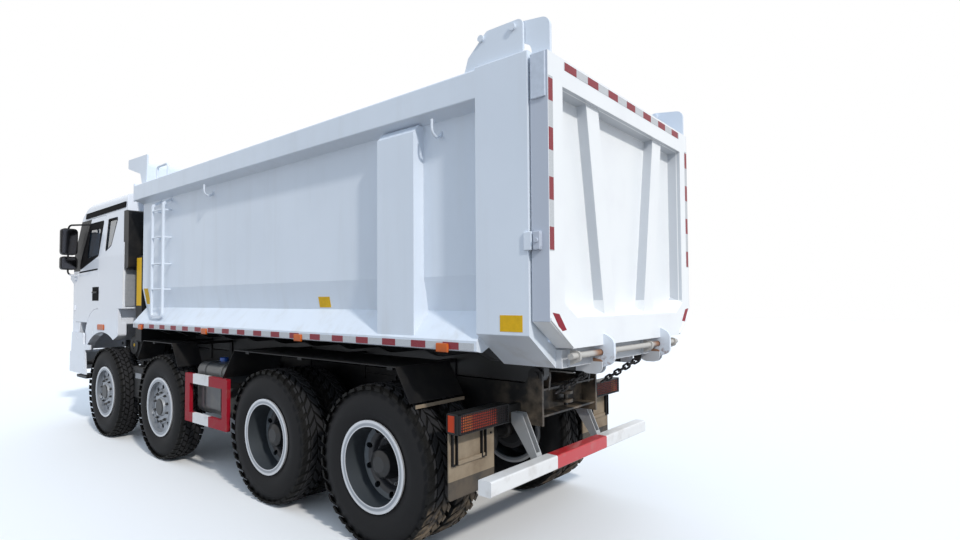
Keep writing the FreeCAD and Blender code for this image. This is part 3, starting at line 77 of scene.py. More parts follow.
class Wire:
    # an output socket of a node tree; sums, products and comparisons of wires add Math nodes
    def __init__(self, tree, socket):
        self.tree = tree
        self.socket = socket

    def node(self, kind, settings=(), inputs=(), out=0):
        made = self.tree.nodes.new(kind)
        for name, value in dict(settings).items():
            setattr(made, name, value)
        for name, value in dict(inputs).items():
            if isinstance(value, Wire):
                self.tree.links.new(value.socket, made.inputs[name])
            else:
                made.inputs[name].default_value = value
        return Wire(self.tree, made.outputs[out])

    def maths(self, operation, *others):
        return self.node("ShaderNodeMath", {"operation": operation}, dict(enumerate((self,) + others)))

    def __add__(self, other):
        return self.maths("ADD", other)

    __radd__ = __add__

    def __sub__(self, other):
        return self.maths("SUBTRACT", other)

    def __rsub__(self, other):
        return self.node("ShaderNodeMath", {"operation": "SUBTRACT"}, {0: other, 1: self})

    def __mul__(self, other):
        return self.maths("MULTIPLY", other)

    __rmul__ = __mul__

    def __gt__(self, other):
        return self.maths("GREATER_THAN", other)

    def __lt__(self, other):
        return self.maths("LESS_THAN", other)

    def size(self):
        return self.maths("ABSOLUTE")

    def part(self):
        return self.maths("FRACT")

    def least(self, other):
        return self.maths("MINIMUM", other)

    def most(self, other):
        return self.maths("MAXIMUM", other)

    def between(self, low, high):
        return (self > low) * (self < high)

    def ramp(self, low, high):  # 0 at low, 1 at high, smooth between
        return self.node("ShaderNodeMapRange", {"interpolation_type": "SMOOTHSTEP"},
                         {"Value": self, "From Min": low, "From Max": high})

    def mix(self, colourA, colourB):  # colourA where this wire is 0, colourB where it is 1
        return self.node("ShaderNodeMix", {"data_type": "RGBA"}, {0: self, 6: colourA, 7: colourB}, out=2)

    def axes(self):
        split = self.node("ShaderNodeSeparateXYZ", (), {0: self}).socket.node
        return [Wire(self.tree, socket) for socket in split.outputs]

    def noise(self, scale, detail=3.0, stretch=(1, 1, 1)):
        where = self
        if tuple(stretch) != (1, 1, 1):
            where = self.node("ShaderNodeVectorMath", {"operation": "MULTIPLY"}, {0: self, 1: stretch})
        return where.node("ShaderNodeTexNoise", (), {"Vector": where, "Scale": scale, "Detail": detail,
                                                     "Roughness": 0.55})


def source(tree, kind, output):
    # a wire from a node without inputs, such as the coordinates or the kind of ray
    return Wire(tree, tree.nodes.new(kind).outputs[output])


def rgb(r, g, b):
    return (r, g, b, 1.0)


finishes = {}


def finish(name, look):
    # a new material; look(at, x, y, z) gives each socket a wire where it varies, or a constant
    material = bpy.data.materials.new(name)
    material.use_nodes = True
    tree = material.node_tree
    shader = tree.nodes["Principled BSDF"]
    at = source(tree, "ShaderNodeTexCoord", "Object")
    for key, value in look(at, *at.axes()).items():
        if isinstance(value, Wire):
            tree.links.new(value.socket, shader.inputs[key])
        else:
            shader.inputs[key].default_value = value
    finishes[name] = material
    return material


def bumpOf(height, strength, distance):
    return height.node("ShaderNodeBump", (), {"Height": height, "Strength": strength, "Distance": distance})


# the finishes: colours that several of them share, then a dictionary beside each look; lengths in metres
paint = {"bedWhite": rgb(0.74, 0.80, 0.88), "cabWhite": rgb(0.78, 0.81, 0.87), "dust": rgb(0.40, 0.34, 0.26),
         "chassisBlack": rgb(0.009, 0.009, 0.010), "markWhite": rgb(0.80, 0.80, 0.80),
         "rust": rgb(0.20, 0.07, 0.025), "sticker": rgb(0.80, 0.47, 0.015)}
dusty = {"from": 0.1, "fade": 1.15, "tankFade": 1.3, "everywhere": 0.35}


def dustOn(at, z, colour, amount, fade=dusty["fade"]):
    # dust over a colour, thicker near the ground and broken up by noise
    low = 1 - z.ramp(dusty["from"], fade)
    veil = at.noise(7.0, 5.0).ramp(0.35, 0.75) * (dusty["everywhere"] + low * (1 - dusty["everywhere"]))
    veil = (veil * amount).least(1.0)
    return veil.mix(colour, paint["dust"]), veil


bedCoat = {"worn": rgb(0.70, 0.76, 0.84), "streak": rgb(0.46, 0.44, 0.40), "under": rgb(0.30, 0.29, 0.27),
           "streaksFade": (1.45, 1.95), "underBelow": 1.425, "underShare": 0.35}


def bedLook(at, x, y, z):  # worn white, streaked towards the foot and greyer underneath
    streaks = at.noise(3.0, 5.0, stretch=(2.5, 2.5, 0.25)).ramp(0.45, 0.8)
    broad = at.noise(0.9, 3.0).ramp(0.3, 0.7)
    low = 1 - z.ramp(*bedCoat["streaksFade"])
    colour = broad.mix(paint["bedWhite"], bedCoat["worn"])
    colour = (streaks * (0.10 + low * 0.30)).mix(colour, bedCoat["streak"])
    under = (z < bedCoat["underBelow"]) * bedCoat["underShare"]
    return {"Base Color": under.mix(colour, bedCoat["under"]), "Roughness": 0.36 + streaks * 0.12,
            "Coat Weight": 0.25, "Coat Roughness": 0.12, "Normal": bumpOf(at.noise(2.2, 2.0), 0.10, 0.02)}


# painted light: the gate's white is a lighter copy of the body's white for the sun on the gate; the recess
# and edge colours are painted shade
gateCoatAndPaintedLight = {"white": rgb(0.86, 0.875, 0.885), "worn": rgb(0.82, 0.83, 0.85), "recess": rgb(0.58, 0.61, 0.65),
            "edge": rgb(0.48, 0.52, 0.60), "edgeDepth": 0.003, "shadedFrameSides": (0.034, 0.101),
            "shadedRibSides": (0.004, 0.026), "recessAbove": 1.86}


def gateLook(at, x, y, z):  # whiter than the body, a lighter copy of its white for the sun on the gate; painted shade on the side faces and on the recess and rib sides
    faint = at.noise(2.4, 4.0).ramp(0.4, 0.8)
    # painted shade: the gate's side faces, at its full half-width, are coloured bluish grey
    edge = y.size() > highOf("tailgate").y - gateCoatAndPaintedLight["edgeDepth"]
    colour = faint.mix(gateCoatAndPaintedLight["white"], gateCoatAndPaintedLight["worn"])
    rear = lowOf("tailgate").x
    # painted shade: the slanted sides of the recess and of its ribs are coloured grey above the foot
    shadedFrameSides = x.between(*[rear + depth for depth in gateCoatAndPaintedLight["shadedFrameSides"]])
    shadedRibSides = x.between(*[rear + depth for depth in gateCoatAndPaintedLight["shadedRibSides"]])
    sides = shadedFrameSides.most(shadedRibSides).least(z > gateCoatAndPaintedLight["recessAbove"])
    colour = sides.mix(colour, gateCoatAndPaintedLight["recess"])
    return {"Base Color": edge.mix(colour, gateCoatAndPaintedLight["edge"]), "Roughness": 0.38 + faint * 0.08,
            "Coat Weight": 0.2}


tailCoat = {"black": rgb(0.012, 0.012, 0.013), "sill": rgb(0.62, 0.64, 0.67), "sillDepth": 0.13,
            "shaft": rgb(0.50, 0.48, 0.45), "shaftBehindPin": 0.18, "shaftAbove": 1.45,
            "freshRust": rgb(0.30, 0.14, 0.06), "hookY": 0.52, "rustReach": (0.05, 0.16)}


def bedFrameLook(at, x, y, z):  # black as painted shade under the bed, with a white rear sill; a pale latch shaft, rusty beside its hooks
    shaft = (x < joints["tailgate_swing"]["pos_m"][0] - tailCoat["shaftBehindPin"]).least(
        z > tailCoat["shaftAbove"])
    beside = 1 - (y.size() - tailCoat["hookY"]).size().ramp(*tailCoat["rustReach"])
    sill = x < lowOf("bed_tub").x + tailCoat["sillDepth"]
    # painted shade: the frame under the bed is coloured black
    colour = sill.mix(tailCoat["black"], tailCoat["sill"])
    rusty = at.noise(35.0, 4.0).ramp(0.3, 0.7).mix(paint["rust"], tailCoat["freshRust"])
    pale = (beside * 0.9).mix(tailCoat["shaft"], rusty)
    return {"Base Color": shaft.mix(colour, pale), "Roughness": 0.45 + shaft * 0.25}


hookRust = {"full": 1.44, "none": 1.53}


def hookLook(at, x, y, z):  # white hook plates, a little rust where they meet the latch shaft
    rusty = at.noise(30.0, 4.0).ramp(0.45, 0.70) * (1 - z.ramp(hookRust["full"], hookRust["none"])) * 0.8
    return {"Base Color": rusty.mix(paint["bedWhite"], paint["rust"]), "Roughness": 0.4 + rusty * 0.4}


cabCoat = {"grime": rgb(0.45, 0.42, 0.38), "grimeFade": (1.1, 1.8), "black": rgb(0.008, 0.008, 0.009),
           "mirrorsOutside": 1.236, "mirrorsAbove": 2.28, "pillarAhead": 4.80, "pillarLean": 0.4155,
           "pillarHeights": (2.33, 3.10), "pillarOutside": 0.90}
grilleOpening = {"count": 4, "low": 1.344, "high": 1.420, "pitch": 0.150, "half": 0.565, "widens": 0.060,
                 "ahead": 4.0}


def cabLook(at, x, y, z):  # white; black mirrors, front pillars beside the windscreen, grille openings
    mirror = (y.size() > cabCoat["mirrorsOutside"]).least(z > cabCoat["mirrorsAbove"])
    pillar = (x + z * cabCoat["pillarLean"] > cabCoat["pillarAhead"]).least(
        z.between(*cabCoat["pillarHeights"])).least(y.size() > cabCoat["pillarOutside"])
    grime = at.noise(5.0, 5.0).ramp(0.5, 0.85) * (1 - z.ramp(*cabCoat["grimeFade"])) * 0.4
    colour = grime.mix(paint["cabWhite"], cabCoat["grime"])
    black = mirror.most(pillar)
    for i in range(grilleOpening["count"]):
        rise = i * grilleOpening["pitch"]
        opening = z.between(grilleOpening["low"] + rise, grilleOpening["high"] + rise).least(
            y.size() < grilleOpening["half"] + i * grilleOpening["widens"])
        black = black.most(opening.least(x > grilleOpening["ahead"]))
    return {"Base Color": black.mix(colour, cabCoat["black"]), "Roughness": 0.24 + grime * 0.3 + black * 0.25,
            "Coat Weight": 0.5 - black * 0.5, "Coat Roughness": 0.06, "Specular IOR Level": 0.3}


chassisMud = {"colour": rgb(0.27, 0.21, 0.15), "behind": (-3.60, -3.20), "above": (0.75, 1.0)}


def chassisLook(at, x, y, z):  # black under a thin veil of dust, dry mud at the tail
    colour, veil = dustOn(at, z, paint["chassisBlack"], 0.08)
    tail = (1 - x.ramp(*chassisMud["behind"])) * z.ramp(*chassisMud["above"])
    colour = (at.noise(6.0, 4.0).ramp(0.40, 0.72) * tail * 0.6).mix(colour, chassisMud["colour"])
    return {"Base Color": colour, "Specular IOR Level": 0.25, "Roughness": 0.42 + veil * 0.4,
            "Normal": bumpOf(at.noise(40.0, 3.0), 0.08, 0.004)}


axleX = {number: joints["spin_%d_left" % number]["pos_m"][0] for number in (1, 2, 3, 4)}
axleZ = joints["spin_1_left"]["pos_m"][2]


def fromAxle(x, z):  # distance from the nearest wheel's axis, measured in the side view
    along = None
    for middle in axleX.values():
        gap = (x - middle).size()
        along = gap if along is None else along.least(gap)
    rise = z - axleZ
    return (along * along + rise * rise).maths("SQRT")


# painted light: the groove colour is painted shade between the blocks, the block colour a painted highlight
# on their tops
rubber = {"side": rgb(0.012, 0.012, 0.013), "groove": rgb(0.004, 0.004, 0.004),
          "block": rgb(0.024, 0.024, 0.026), "grooveFrom": 0.560, "blockFrom": 0.6075,
          "mud": rgb(0.26, 0.20, 0.14), "mudFrom": 0.600, "mudBehind": (-3.15, -2.75), "mudTop": (0.34, 0.50),
          "treadFrom": (0.555, 0.585), "treadInside": 1.215, "treadFade": 0.02}


def rubberLook(at, x, y, z):  # black rubber, painted shade between the blocks and a painted highlight on their tops; dry mud low on the rearmost tread
    r = fromAxle(x, z)
    tread = r.ramp(*rubber["treadFrom"])
    tread = tread * (1 - (y.size() - rubber["treadInside"]).ramp(0.0, rubber["treadFade"]))
    behind = 1 - x.ramp(*rubber["mudBehind"])
    # painted shade in the grooves, painted highlight on the block tops
    colour = r.between(rubber["grooveFrom"], rubber["blockFrom"]).mix(rubber["side"], rubber["groove"])
    colour = (r > rubber["blockFrom"]).mix(colour, rubber["block"])
    mud = at.noise(7.0, 4.0).ramp(0.35, 0.65) * tread * behind
    mud = mud * (r > rubber["mudFrom"]) * (1 - z.ramp(*rubber["mudTop"]))
    return {"Base Color": (mud * 0.85).mix(colour, rubber["mud"]), "Specular IOR Level": 0.18,
            "Roughness": 0.68, "Normal": bumpOf(at.noise(60.0, 3.0), 0.15, 0.004)}


flapCoat = {"plateAbove": 0.645, "rubber": rgb(0.03, 0.03, 0.03), "dustyRubber": rgb(0.10, 0.08, 0.06),
            "plate": rgb(0.20, 0.15, 0.10), "dustyPlate": rgb(0.30, 0.24, 0.17)}


def flapLook(at, x, y, z):  # tan plate above, black rubber below
    dust = at.noise(6.0, 5.0).ramp(0.3, 0.7)
    colour = (z > flapCoat["plateAbove"]).mix(dust.mix(flapCoat["rubber"], flapCoat["dustyRubber"]),
                                              dust.mix(flapCoat["plate"], flapCoat["dustyPlate"]))
    return {"Base Color": colour, "Roughness": 0.8}


# painted light: the bright colour is a painted highlight; the barrel and disc colours are painted shade
# inside the rear rims
rim = {"silver": rgb(0.30, 0.32, 0.35), "bright": rgb(0.60, 0.61, 0.63), "barrel": rgb(0.100, 0.115, 0.130),
       "disc": rgb(0.045, 0.045, 0.05), "hub": rgb(0.010, 0.010, 0.011), "hubRadius": 0.098,
       "rearHubMore": 0.062, "discRadius": 0.262, "barrelRadius": 0.303, "ring": (0.292, 0.303),
       "lip": (0.318, 0.330), "faceDepth": 0.004}


def silverLook(at, x, y, z):  # silver rims with a painted highlight on the lip; the rear ones painted dark inside as shade, hubs are black
    r = fromAxle(x, z)
    rear = x < 0.0
    hub = r < (rear * rim["rearHubMore"] + rim["hubRadius"])
    disc = (r < rim["discRadius"]).least(rear)
    face = y.size() > highOf("rims_4_left").y - rim["faceDepth"]
    colour, veil = dustOn(at, z, rim["silver"], 0.10, dusty["tankFade"])
    # painted highlight: a bright band at the outer lip, and a bright ring on the rear rims' faces
    bright = r.ramp(*rim["lip"]).most(r.between(*rim["ring"]) * rear * face)
    # painted shade: the rear rims are dark in the barrel and darker on the disc, deep inside the dish
    colour = (r < rim["barrelRadius"]).least(rear).mix(colour, rim["barrel"])
    colour = bright.mix(colour, rim["bright"])
    colour = disc.mix(colour, rim["disc"])
    colour = hub.mix(colour, rim["hub"])
    steel = 1 - hub.most(disc)
    return {"Base Color": colour, "Metallic": steel * 0.6, "Roughness": 0.38 + veil * 0.2,
            "Normal": bumpOf(at.noise(55.0, 3.0), 0.05, 0.003)}


guardCoat = {"red": rgb(0.30, 0.006, 0.018), "grime": rgb(0.20, 0.16, 0.13), "white": (0.42, 0.80),
             "staysInside": 1.186}


def guardLook(at, x, y, z):  # red frame with white parts in the middle of its bars, black stays
    start = lowOf("side_guards").x
    span = highOf("side_guards").x - start
    white = x.between(*[start + share * span for share in guardCoat["white"]])
    stay = y.size() < guardCoat["staysInside"]
    colour = white.mix(guardCoat["red"], paint["markWhite"])
    colour = stay.mix(colour, paint["chassisBlack"])
    grime = at.noise(9.0, 4.0).ramp(0.5, 0.8) * 0.3
    return {"Base Color": grime.mix(colour, guardCoat["grime"]), "Roughness": 0.45, "Specular IOR Level": 0.2}


underrun = {"red": rgb(0.52, 0.022, 0.030), "redHalf": 0.41, "strut": rgb(0.36, 0.37, 0.38),
            "beamDepth": 0.1015, "grime": rgb(0.35, 0.30, 0.25)}


def underrunLook(at, x, y, z):  # white bar with a red middle, light grey struts
    beam = x < lowOf("underrun_guard").x + underrun["beamDepth"]
    colour = (y.size() < underrun["redHalf"]).mix(paint["markWhite"], underrun["red"])
    grime = at.noise(8.0, 5.0).ramp(0.5, 0.8) * 0.35
    colour = beam.mix(underrun["strut"], colour)
    return {"Base Color": grime.mix(colour, underrun["grime"]), "Roughness": 0.4, "Coat Weight": 0.2}


spring = {"dark": rgb(0.015, 0.014, 0.014), "brown": rgb(0.05, 0.04, 0.03)}


def springLook(at, x, y, z):
    return {"Base Color": at.noise(12.0, 4.0).ramp(0.3, 0.7).mix(spring["dark"], spring["brown"]),
            "Roughness": 0.55, "Metallic": 0.3}


oilStrip = {"outside": 1.117, "above": 1.81, "x": (1.80, 1.955)}


def oilTankLook(at, x, y, z):  # black tank with a yellow strip down its outer edge
    strip = (y > oilStrip["outside"]).least(z > oilStrip["above"]).least(x.between(*oilStrip["x"]))
    return {"Base Color": strip.mix(paint["chassisBlack"], paint["sticker"]), "Roughness": 0.5,
            "Specular IOR Level": 0.2}


lampGlass = {"red": rgb(0.60, 0.07, 0.035), "orange": rgb(0.85, 0.20, 0.06), "unlit": rgb(0.03, 0.012, 0.012),
             "box": rgb(0.02, 0.02, 0.02), "endBlack": rgb(0.012, 0.012, 0.012),
             "end": rgb(0.50, 0.045, 0.008), "clear": rgb(0.75, 0.77, 0.80), "orangeBand": (1.09, 1.19),
             "unlitInside": 0.80, "windowX": (0.031, 0.089), "windowZ": (0.989, 1.098), "depth": 0.004,
             "headAhead": 3.0, "ribsPerMetre": 90.0}


def lampLook(at, x, y, z):  # tail lamps: black box, red rear face, orange outer end; clear head lamps
    start, outer = lowOf("lamps").x, highOf("lamps").y
    rear = x < start + lampGlass["depth"]
    end = (y.size() > outer - lampGlass["depth"]).least(x < 0.0)
    head = x > lampGlass["headAhead"]
    ribs = (y * lampGlass["ribsPerMetre"]).part().ramp(0.1, 0.5)
    lens = y.size().between(*lampGlass["orangeBand"]).mix(lampGlass["red"], lampGlass["orange"])
    lens = (y.size() < lampGlass["unlitInside"]).mix(lens, lampGlass["unlit"])
    colour = rear.mix(lampGlass["box"], lens)
    window = x.between(*[start + edge for edge in lampGlass["windowX"]])
    window = window.least(z.between(*lampGlass["windowZ"]))
    colour = end.mix(colour, window.mix(lampGlass["endBlack"], lampGlass["end"]))
    return {"Base Color": head.mix(colour, lampGlass["clear"]), "Roughness": 0.34 - head * 0.2,
            "Coat Weight": head * 0.8, "Specular IOR Level": 0.25, "Metallic": head * 0.3,
            "Normal": bumpOf(ribs, 0.25, 0.002)}


def glassLook(at, x, y, z):
    return {"Base Color": rgb(0.10, 0.16, 0.22), "Roughness": 0.03, "Transmission Weight": 0.85,
            "IOR": 1.45, "Coat Weight": 1.0, "Coat Roughness": 0.02}


def trimLook(at, x, y, z):  # dark grained plastic
    return {"Base Color": at.noise(50.0, 3.0).mix(rgb(0.035, 0.036, 0.04), rgb(0.06, 0.06, 0.065)),
            "Roughness": 0.6, "Normal": bumpOf(at.noise(220.0, 2.0), 0.2, 0.002)}


def chromeLook(at, x, y, z):
    return {"Base Color": rgb(0.75, 0.76, 0.78), "Metallic": 1.0,
            "Roughness": 0.12 + at.noise(30.0).ramp(0.4, 0.9) * 0.1}


def tankLook(at, x, y, z):  # dark metal under dust
    colour, veil = dustOn(at, z, rgb(0.055, 0.06, 0.065), 0.3, dusty["tankFade"])
    return {"Base Color": colour, "Roughness": 0.4 + veil * 0.3, "Coat Weight": 0.2}


def plain(colour, rough=0.4, coat=0.0, metal=0.0, shine=0.5):
    # one colour with a slightly darker cloud over it
    def look(at, x, y, z):
        shade = at.noise(30.0, 3.0).ramp(0.2, 0.8)
        darker = tuple(c * 0.86 for c in colour[:3]) + (1.0,)
        return {"Base Color": shade.mix(colour, darker), "Roughness": rough, "Coat Weight": coat,
                "Metallic": metal, "Specular IOR Level": shine}
    return look


tapeColour = {"red": rgb(0.27, 0.006, 0.020), "white": rgb(0.62, 0.64, 0.66), "cell": rgb(0.22, 0.20, 0.20)}


def tapeLook(axis, period, start, redShare):
    # red and white fields in turn along one axis, with a fine honeycomb glitter
    def look(at, x, y, z):
        along = {"x": x, "y": y, "z": z}[axis]
        red = ((along - start) * (1 / period)).part() > 1 - redShare
        cells = at.node("ShaderNodeTexVoronoi", (), {"Vector": at, "Scale": 160.0})
        colour = red.mix(tapeColour["white"], tapeColour["red"])
        return {"Base Color": (cells * 0.4).least(0.25).mix(colour, tapeColour["cell"]), "Roughness": 0.45,
                "Specular IOR Level": 0.2}
    return look


looks = {"bedPaint": bedLook, "gatePaintAndPaintedLight": gateLook, "bedFrameShadeAndRust": bedFrameLook, "hookPaint": hookLook,
         "cabPaint": cabLook, "chassisPaint": chassisLook, "tyreRubberAndPaintedLight": rubberLook, "flapRubber": flapLook,
         "rimSilverAndPaintedLight": silverLook, "guardPaint": guardLook, "underrunPaint": underrunLook,
         "springSteel": springLook, "oilTankPaint": oilTankLook, "lampLens": lampLook, "cabGlass": glassLook,
         "cabTrim": trimLook, "hoistChrome": chromeLook, "tankPaint": tankLook,
         "tapeAlongX": tapeLook("x", period=0.292, start=0.9366, redShare=0.47),
         "tapeAlongY": tapeLook("y", period=0.313, start=-0.227, redShare=0.50),
         "tapeAlongZ": tapeLook("z", period=0.295, start=2.881, redShare=0.46),
         # painted shade: the bluish grey of the gate's shaded sides, for the plates laid on them
         "gateSideShade": plain(rgb(0.60, 0.66, 0.76), rough=0.4, coat=0.2),
         "chainBlack": plain(rgb(0.022, 0.021, 0.021), rough=0.5, metal=0.4),
         "amberLens": plain(rgb(0.58, 0.11, 0.008), rough=0.35, coat=0.15, shine=0.3),
         "blankSticker": plain(paint["sticker"], rough=0.5, shine=0.2),
         "blackPlastic": plain(rgb(0.010, 0.010, 0.011), rough=0.45, shine=0.2),
         "boltSteel": plain(rgb(0.30, 0.30, 0.31), rough=0.4, metal=0.8),
         "hubBlack": plain(rgb(0.03, 0.03, 0.032), rough=0.45, coat=0.2),
         "mirrorGlass": plain(rgb(0.10, 0.10, 0.11), rough=0.10, metal=1.0),
         "whitePlate": plain(paint["bedWhite"], rough=0.36, coat=0.25),
         "blueCap": plain(rgb(0.02, 0.10, 0.45), rough=0.4, coat=0.3),
         "redTape": plain(rgb(0.27, 0.008, 0.022), rough=0.45, shine=0.2),
         "tanPlate": plain(rgb(0.30, 0.235, 0.165), rough=0.8),
         # grey for the battery label, and for painted shade on the cab's rear wall
         "greyLabelAndPaintedShade": plain(rgb(0.30, 0.31, 0.33), rough=0.5),
         "windowBlack": plain(rgb(0.006, 0.006, 0.007), rough=0.6, shine=0.03)}
for finishName, look in looks.items():
    finish(finishName, look)
print("finishes made:", len(finishes))

nodeFinish = {
    "bedPaint": ["bed_tub", "side_rails", "side_posts", "cab_guard", "bed_ladder", "bed_brackets"],
    "gatePaintAndPaintedLight": ["tailgate"], "bedFrameShadeAndRust": ["bed_frame"], "hookPaint": ["gate_fittings"],
    "cabPaint": ["cab_shell", "door_left", "door_right", "bumper"],
    "chassisPaint": ["frame_rails", "crossmembers", "cab_steps", "driveline", "air_filter", "mudguards",
                     "air_intake", "battery_box", "axles", "knuckle_1_left", "knuckle_1_right",
                     "knuckle_2_left", "knuckle_2_right", "hoist_barrel"],
    "springSteel": ["leaf_springs"], "chainBlack": ["tail_chains"], "tankPaint": ["fuel_tank"],
    "oilTankPaint": ["oil_tank"], "flapRubber": ["mud_flaps"], "guardPaint": ["side_guards"],
    "underrunPaint": ["underrun_guard"], "lampLens": ["lamps"],
    "rimSilverAndPaintedLight": [name for name in nodes if name.startswith("rim")],
    "tyreRubberAndPaintedLight": [name for name in nodes if name.startswith("tyre")],
    "cabGlass": ["cab_glass", "door_glass_left", "door_glass_right"],
    "cabTrim": ["cab_inside", "steering_wheel"],
    "hoistChrome": [name for name in nodes if name.startswith("hoist_stage")],
}
for finishName, names in nodeFinish.items():
    for name in names:
        mesh = nodes[name].data
        mesh.materials.clear()
        mesh.materials.append(finishes[finishName])


# shapes: each is (points, quads, triangles)
def skin(rings, capStart=False, capEnd=False):
    # rings of points (rows, columns, 3) joined into quads; a cap is a fan from the middle of a ring
    rows, columns = rings.shape[:2]
    index = np.arange(rows * columns).reshape(rows, columns)
    index = np.hstack([index, index[:, :1]])
    quads = np.stack([index[:-1, :-1], index[:-1, 1:], index[1:, 1:], index[1:, :-1]], axis=-1).reshape(-1, 4)
    verts = rings.reshape(-1, 3)
    tris = np.zeros((0, 3), int)
    for wanted, row, turn in ((capStart, index[0], 1), (capEnd, index[-1], -1)):
        if wanted:
            centre = len(verts)
            verts = np.vstack([verts, verts[row].mean(axis=0)])
            fan = np.stack([row[:-1], np.full(len(row) - 1, centre), row[1:]], axis=-1)[:, ::turn]
            tris = np.vstack([tris, fan])
    return verts, quads, tris


def stack(*shapes):
    # several shapes as one: the faces of each count on from the points before it
    verts, quads, tris, count = [], [], [], 0
    for v, q, t in shapes:
        verts.append(v)
        quads.append(q + count)
        tris.append(t + count)
        count += len(v)
    return np.vstack(verts), np.vstack(quads), np.vstack(tris)


def moved(shape, offset):
    # every point plus the offset
    return shape[0] + np.asarray(offset, float), shape[1], shape[2]


def repeated(verts, quads, tris):
    # verts holds one row of points for each copy of the same faces
    count = verts.shape[1]
    shift = np.arange(len(verts))[:, None, None] * count
    return verts.reshape(-1, 3), (quads[None] + shift).reshape(-1, 4), (tris[None] + shift).reshape(-1, 3)


def copies(shape, offsets):
    # the same shape at many offsets, computed at once
    offsets = np.asarray(offsets, float).reshape(-1, 3)
    return repeated(shape[0][None] + offsets[:, None], shape[1], shape[2])


def turnedAboutY(shape, angles):
    # copies of a shape turned about the Y axis: x = x cos a + z sin a, z = z cos a - x sin a
    c, s = np.cos(angles)[:, None], np.sin(angles)[:, None]
    x = c * shape[0][:, 0] + s * shape[0][:, 2]
    z = -s * shape[0][:, 0] + c * shape[0][:, 2]
    y = np.broadcast_to(shape[0][:, 1], x.shape)
    return repeated(np.stack([x, y, z], axis=-1), shape[1], shape[2])


def mirrored(shape):
    # the other side of the truck: y changes sign and each face is read backwards
    return shape[0] * np.array([1.0, -1.0, 1.0]), shape[1][:, ::-1], shape[2][:, ::-1]


def bothSides(shape):
    # a shape and its mirror image
    return stack(shape, mirrored(shape))


def facingOut(shape):
    # a closed shape whose signed volume is negative is read backwards
    v, q, t = shape
    parts = np.vstack([q[:, [0, 1, 2]], q[:, [0, 2, 3]], t])
    a, b, c = v[parts[:, 0]], v[parts[:, 1]], v[parts[:, 2]]
    volume = np.einsum("ij,ij->i", a, np.cross(b, c)).sum()
    return (v, q[:, ::-1], t[:, ::-1]) if volume < 0 else shape


def roundedRect(width, height, radius, steps=4):
    # corners are quarter circles: centre + radius * (cos a, sin a)
    radius = max(min(radius, width / 2 - 1e-6, height / 2 - 1e-6), 1e-6)
    turn = np.linspace(0, math.pi / 2, steps)
    rows = []
    for k, (sx, sy) in enumerate(((1, 1), (-1, 1), (-1, -1), (1, -1))):
        a = turn + k * math.pi / 2
        rows.append(np.stack([sx * (width / 2 - radius) + radius * np.cos(a),
                              sy * (height / 2 - radius) + radius * np.sin(a)], axis=-1))
    return np.vstack(rows)


def block(low, high, radius=0.004, along="x"):
    # a box from low to high, its four edges along one axis rounded and its two ends drawn in a little
    low, high = np.asarray(low, float), np.asarray(high, float)
    order = list({"x": (0, 1, 2), "y": (1, 2, 0), "z": (2, 0, 1)}[along])
    length, width, height = (high - low)[order]
    section = roundedRect(width, height, radius)
    edge = min(radius, length * 0.3)
    shrink = 1 - 2 * edge / min(width, height)
    ends = ((-length / 2, shrink), (-length / 2 + edge, 1.0), (length / 2 - edge, 1.0), (length / 2, shrink))
    grid = np.array([np.column_stack([np.full(len(section), end), section * scale]) for end, scale in ends])
    rings = np.empty_like(grid)
    rings[..., order] = grid
    return facingOut(skin(rings + (low + high) / 2, capStart=True, capEnd=True))


def prism(points, shift):
    # a flat outline in space carried along a vector
    points = np.asarray(points, float)
    rings = np.array([points, points + np.asarray(shift, float)])
    return facingOut(skin(rings, capStart=True, capEnd=True))


def bentPlate(corners, yOf, thick, steps=10):
    # four corners (x, z) filled evenly, y from yOf(z): point = sum of corners * weights, given a thickness
    corners = np.asarray(corners, float)
    u, w = np.meshgrid(np.linspace(0, 1, steps), np.linspace(0, 1, steps), indexing="ij")
    parts = ((1 - u) * (1 - w), u * (1 - w), u * w, (1 - u) * w)
    x, z = (sum(part * corner[k] for part, corner in zip(parts, corners)) for k in (0, 1))
    front = np.stack([x, yOf(z), z], axis=-1)
    back = front - [0.0, thick, 0.0]
    edge = [(i, 0) for i in range(steps)] + [(steps - 1, j) for j in range(1, steps)]
    edge += [(i, steps - 1) for i in range(steps - 2, -1, -1)] + [(0, j) for j in range(steps - 2, 0, -1)]
    count = steps * steps
    index = np.arange(count).reshape(steps, steps)
    face = np.stack([index[:-1, :-1], index[1:, :-1], index[1:, 1:], index[:-1, 1:]], axis=-1).reshape(-1, 4)
    ring = [i * steps + j for i, j in edge]
    following = ring[1:] + ring[:1]
    sides = np.array([(a, a + count, b + count, b) for a, b in zip(ring, following)])
    verts = np.vstack([front.reshape(-1, 3), back.reshape(-1, 3)])
    return facingOut((verts, np.vstack([face[:, ::-1], face + count, sides]), np.zeros((0, 3), int)))


def plateOn(surface, x, z, proud, thick, steps=10):
    # an upright rectangle laid on a side whose y is surface(z)
    corners = [(x[0], z[0]), (x[1], z[0]), (x[1], z[1]), (x[0], z[1])]
    return bentPlate(corners, lambda height: surface(height) + proud, thick, steps)


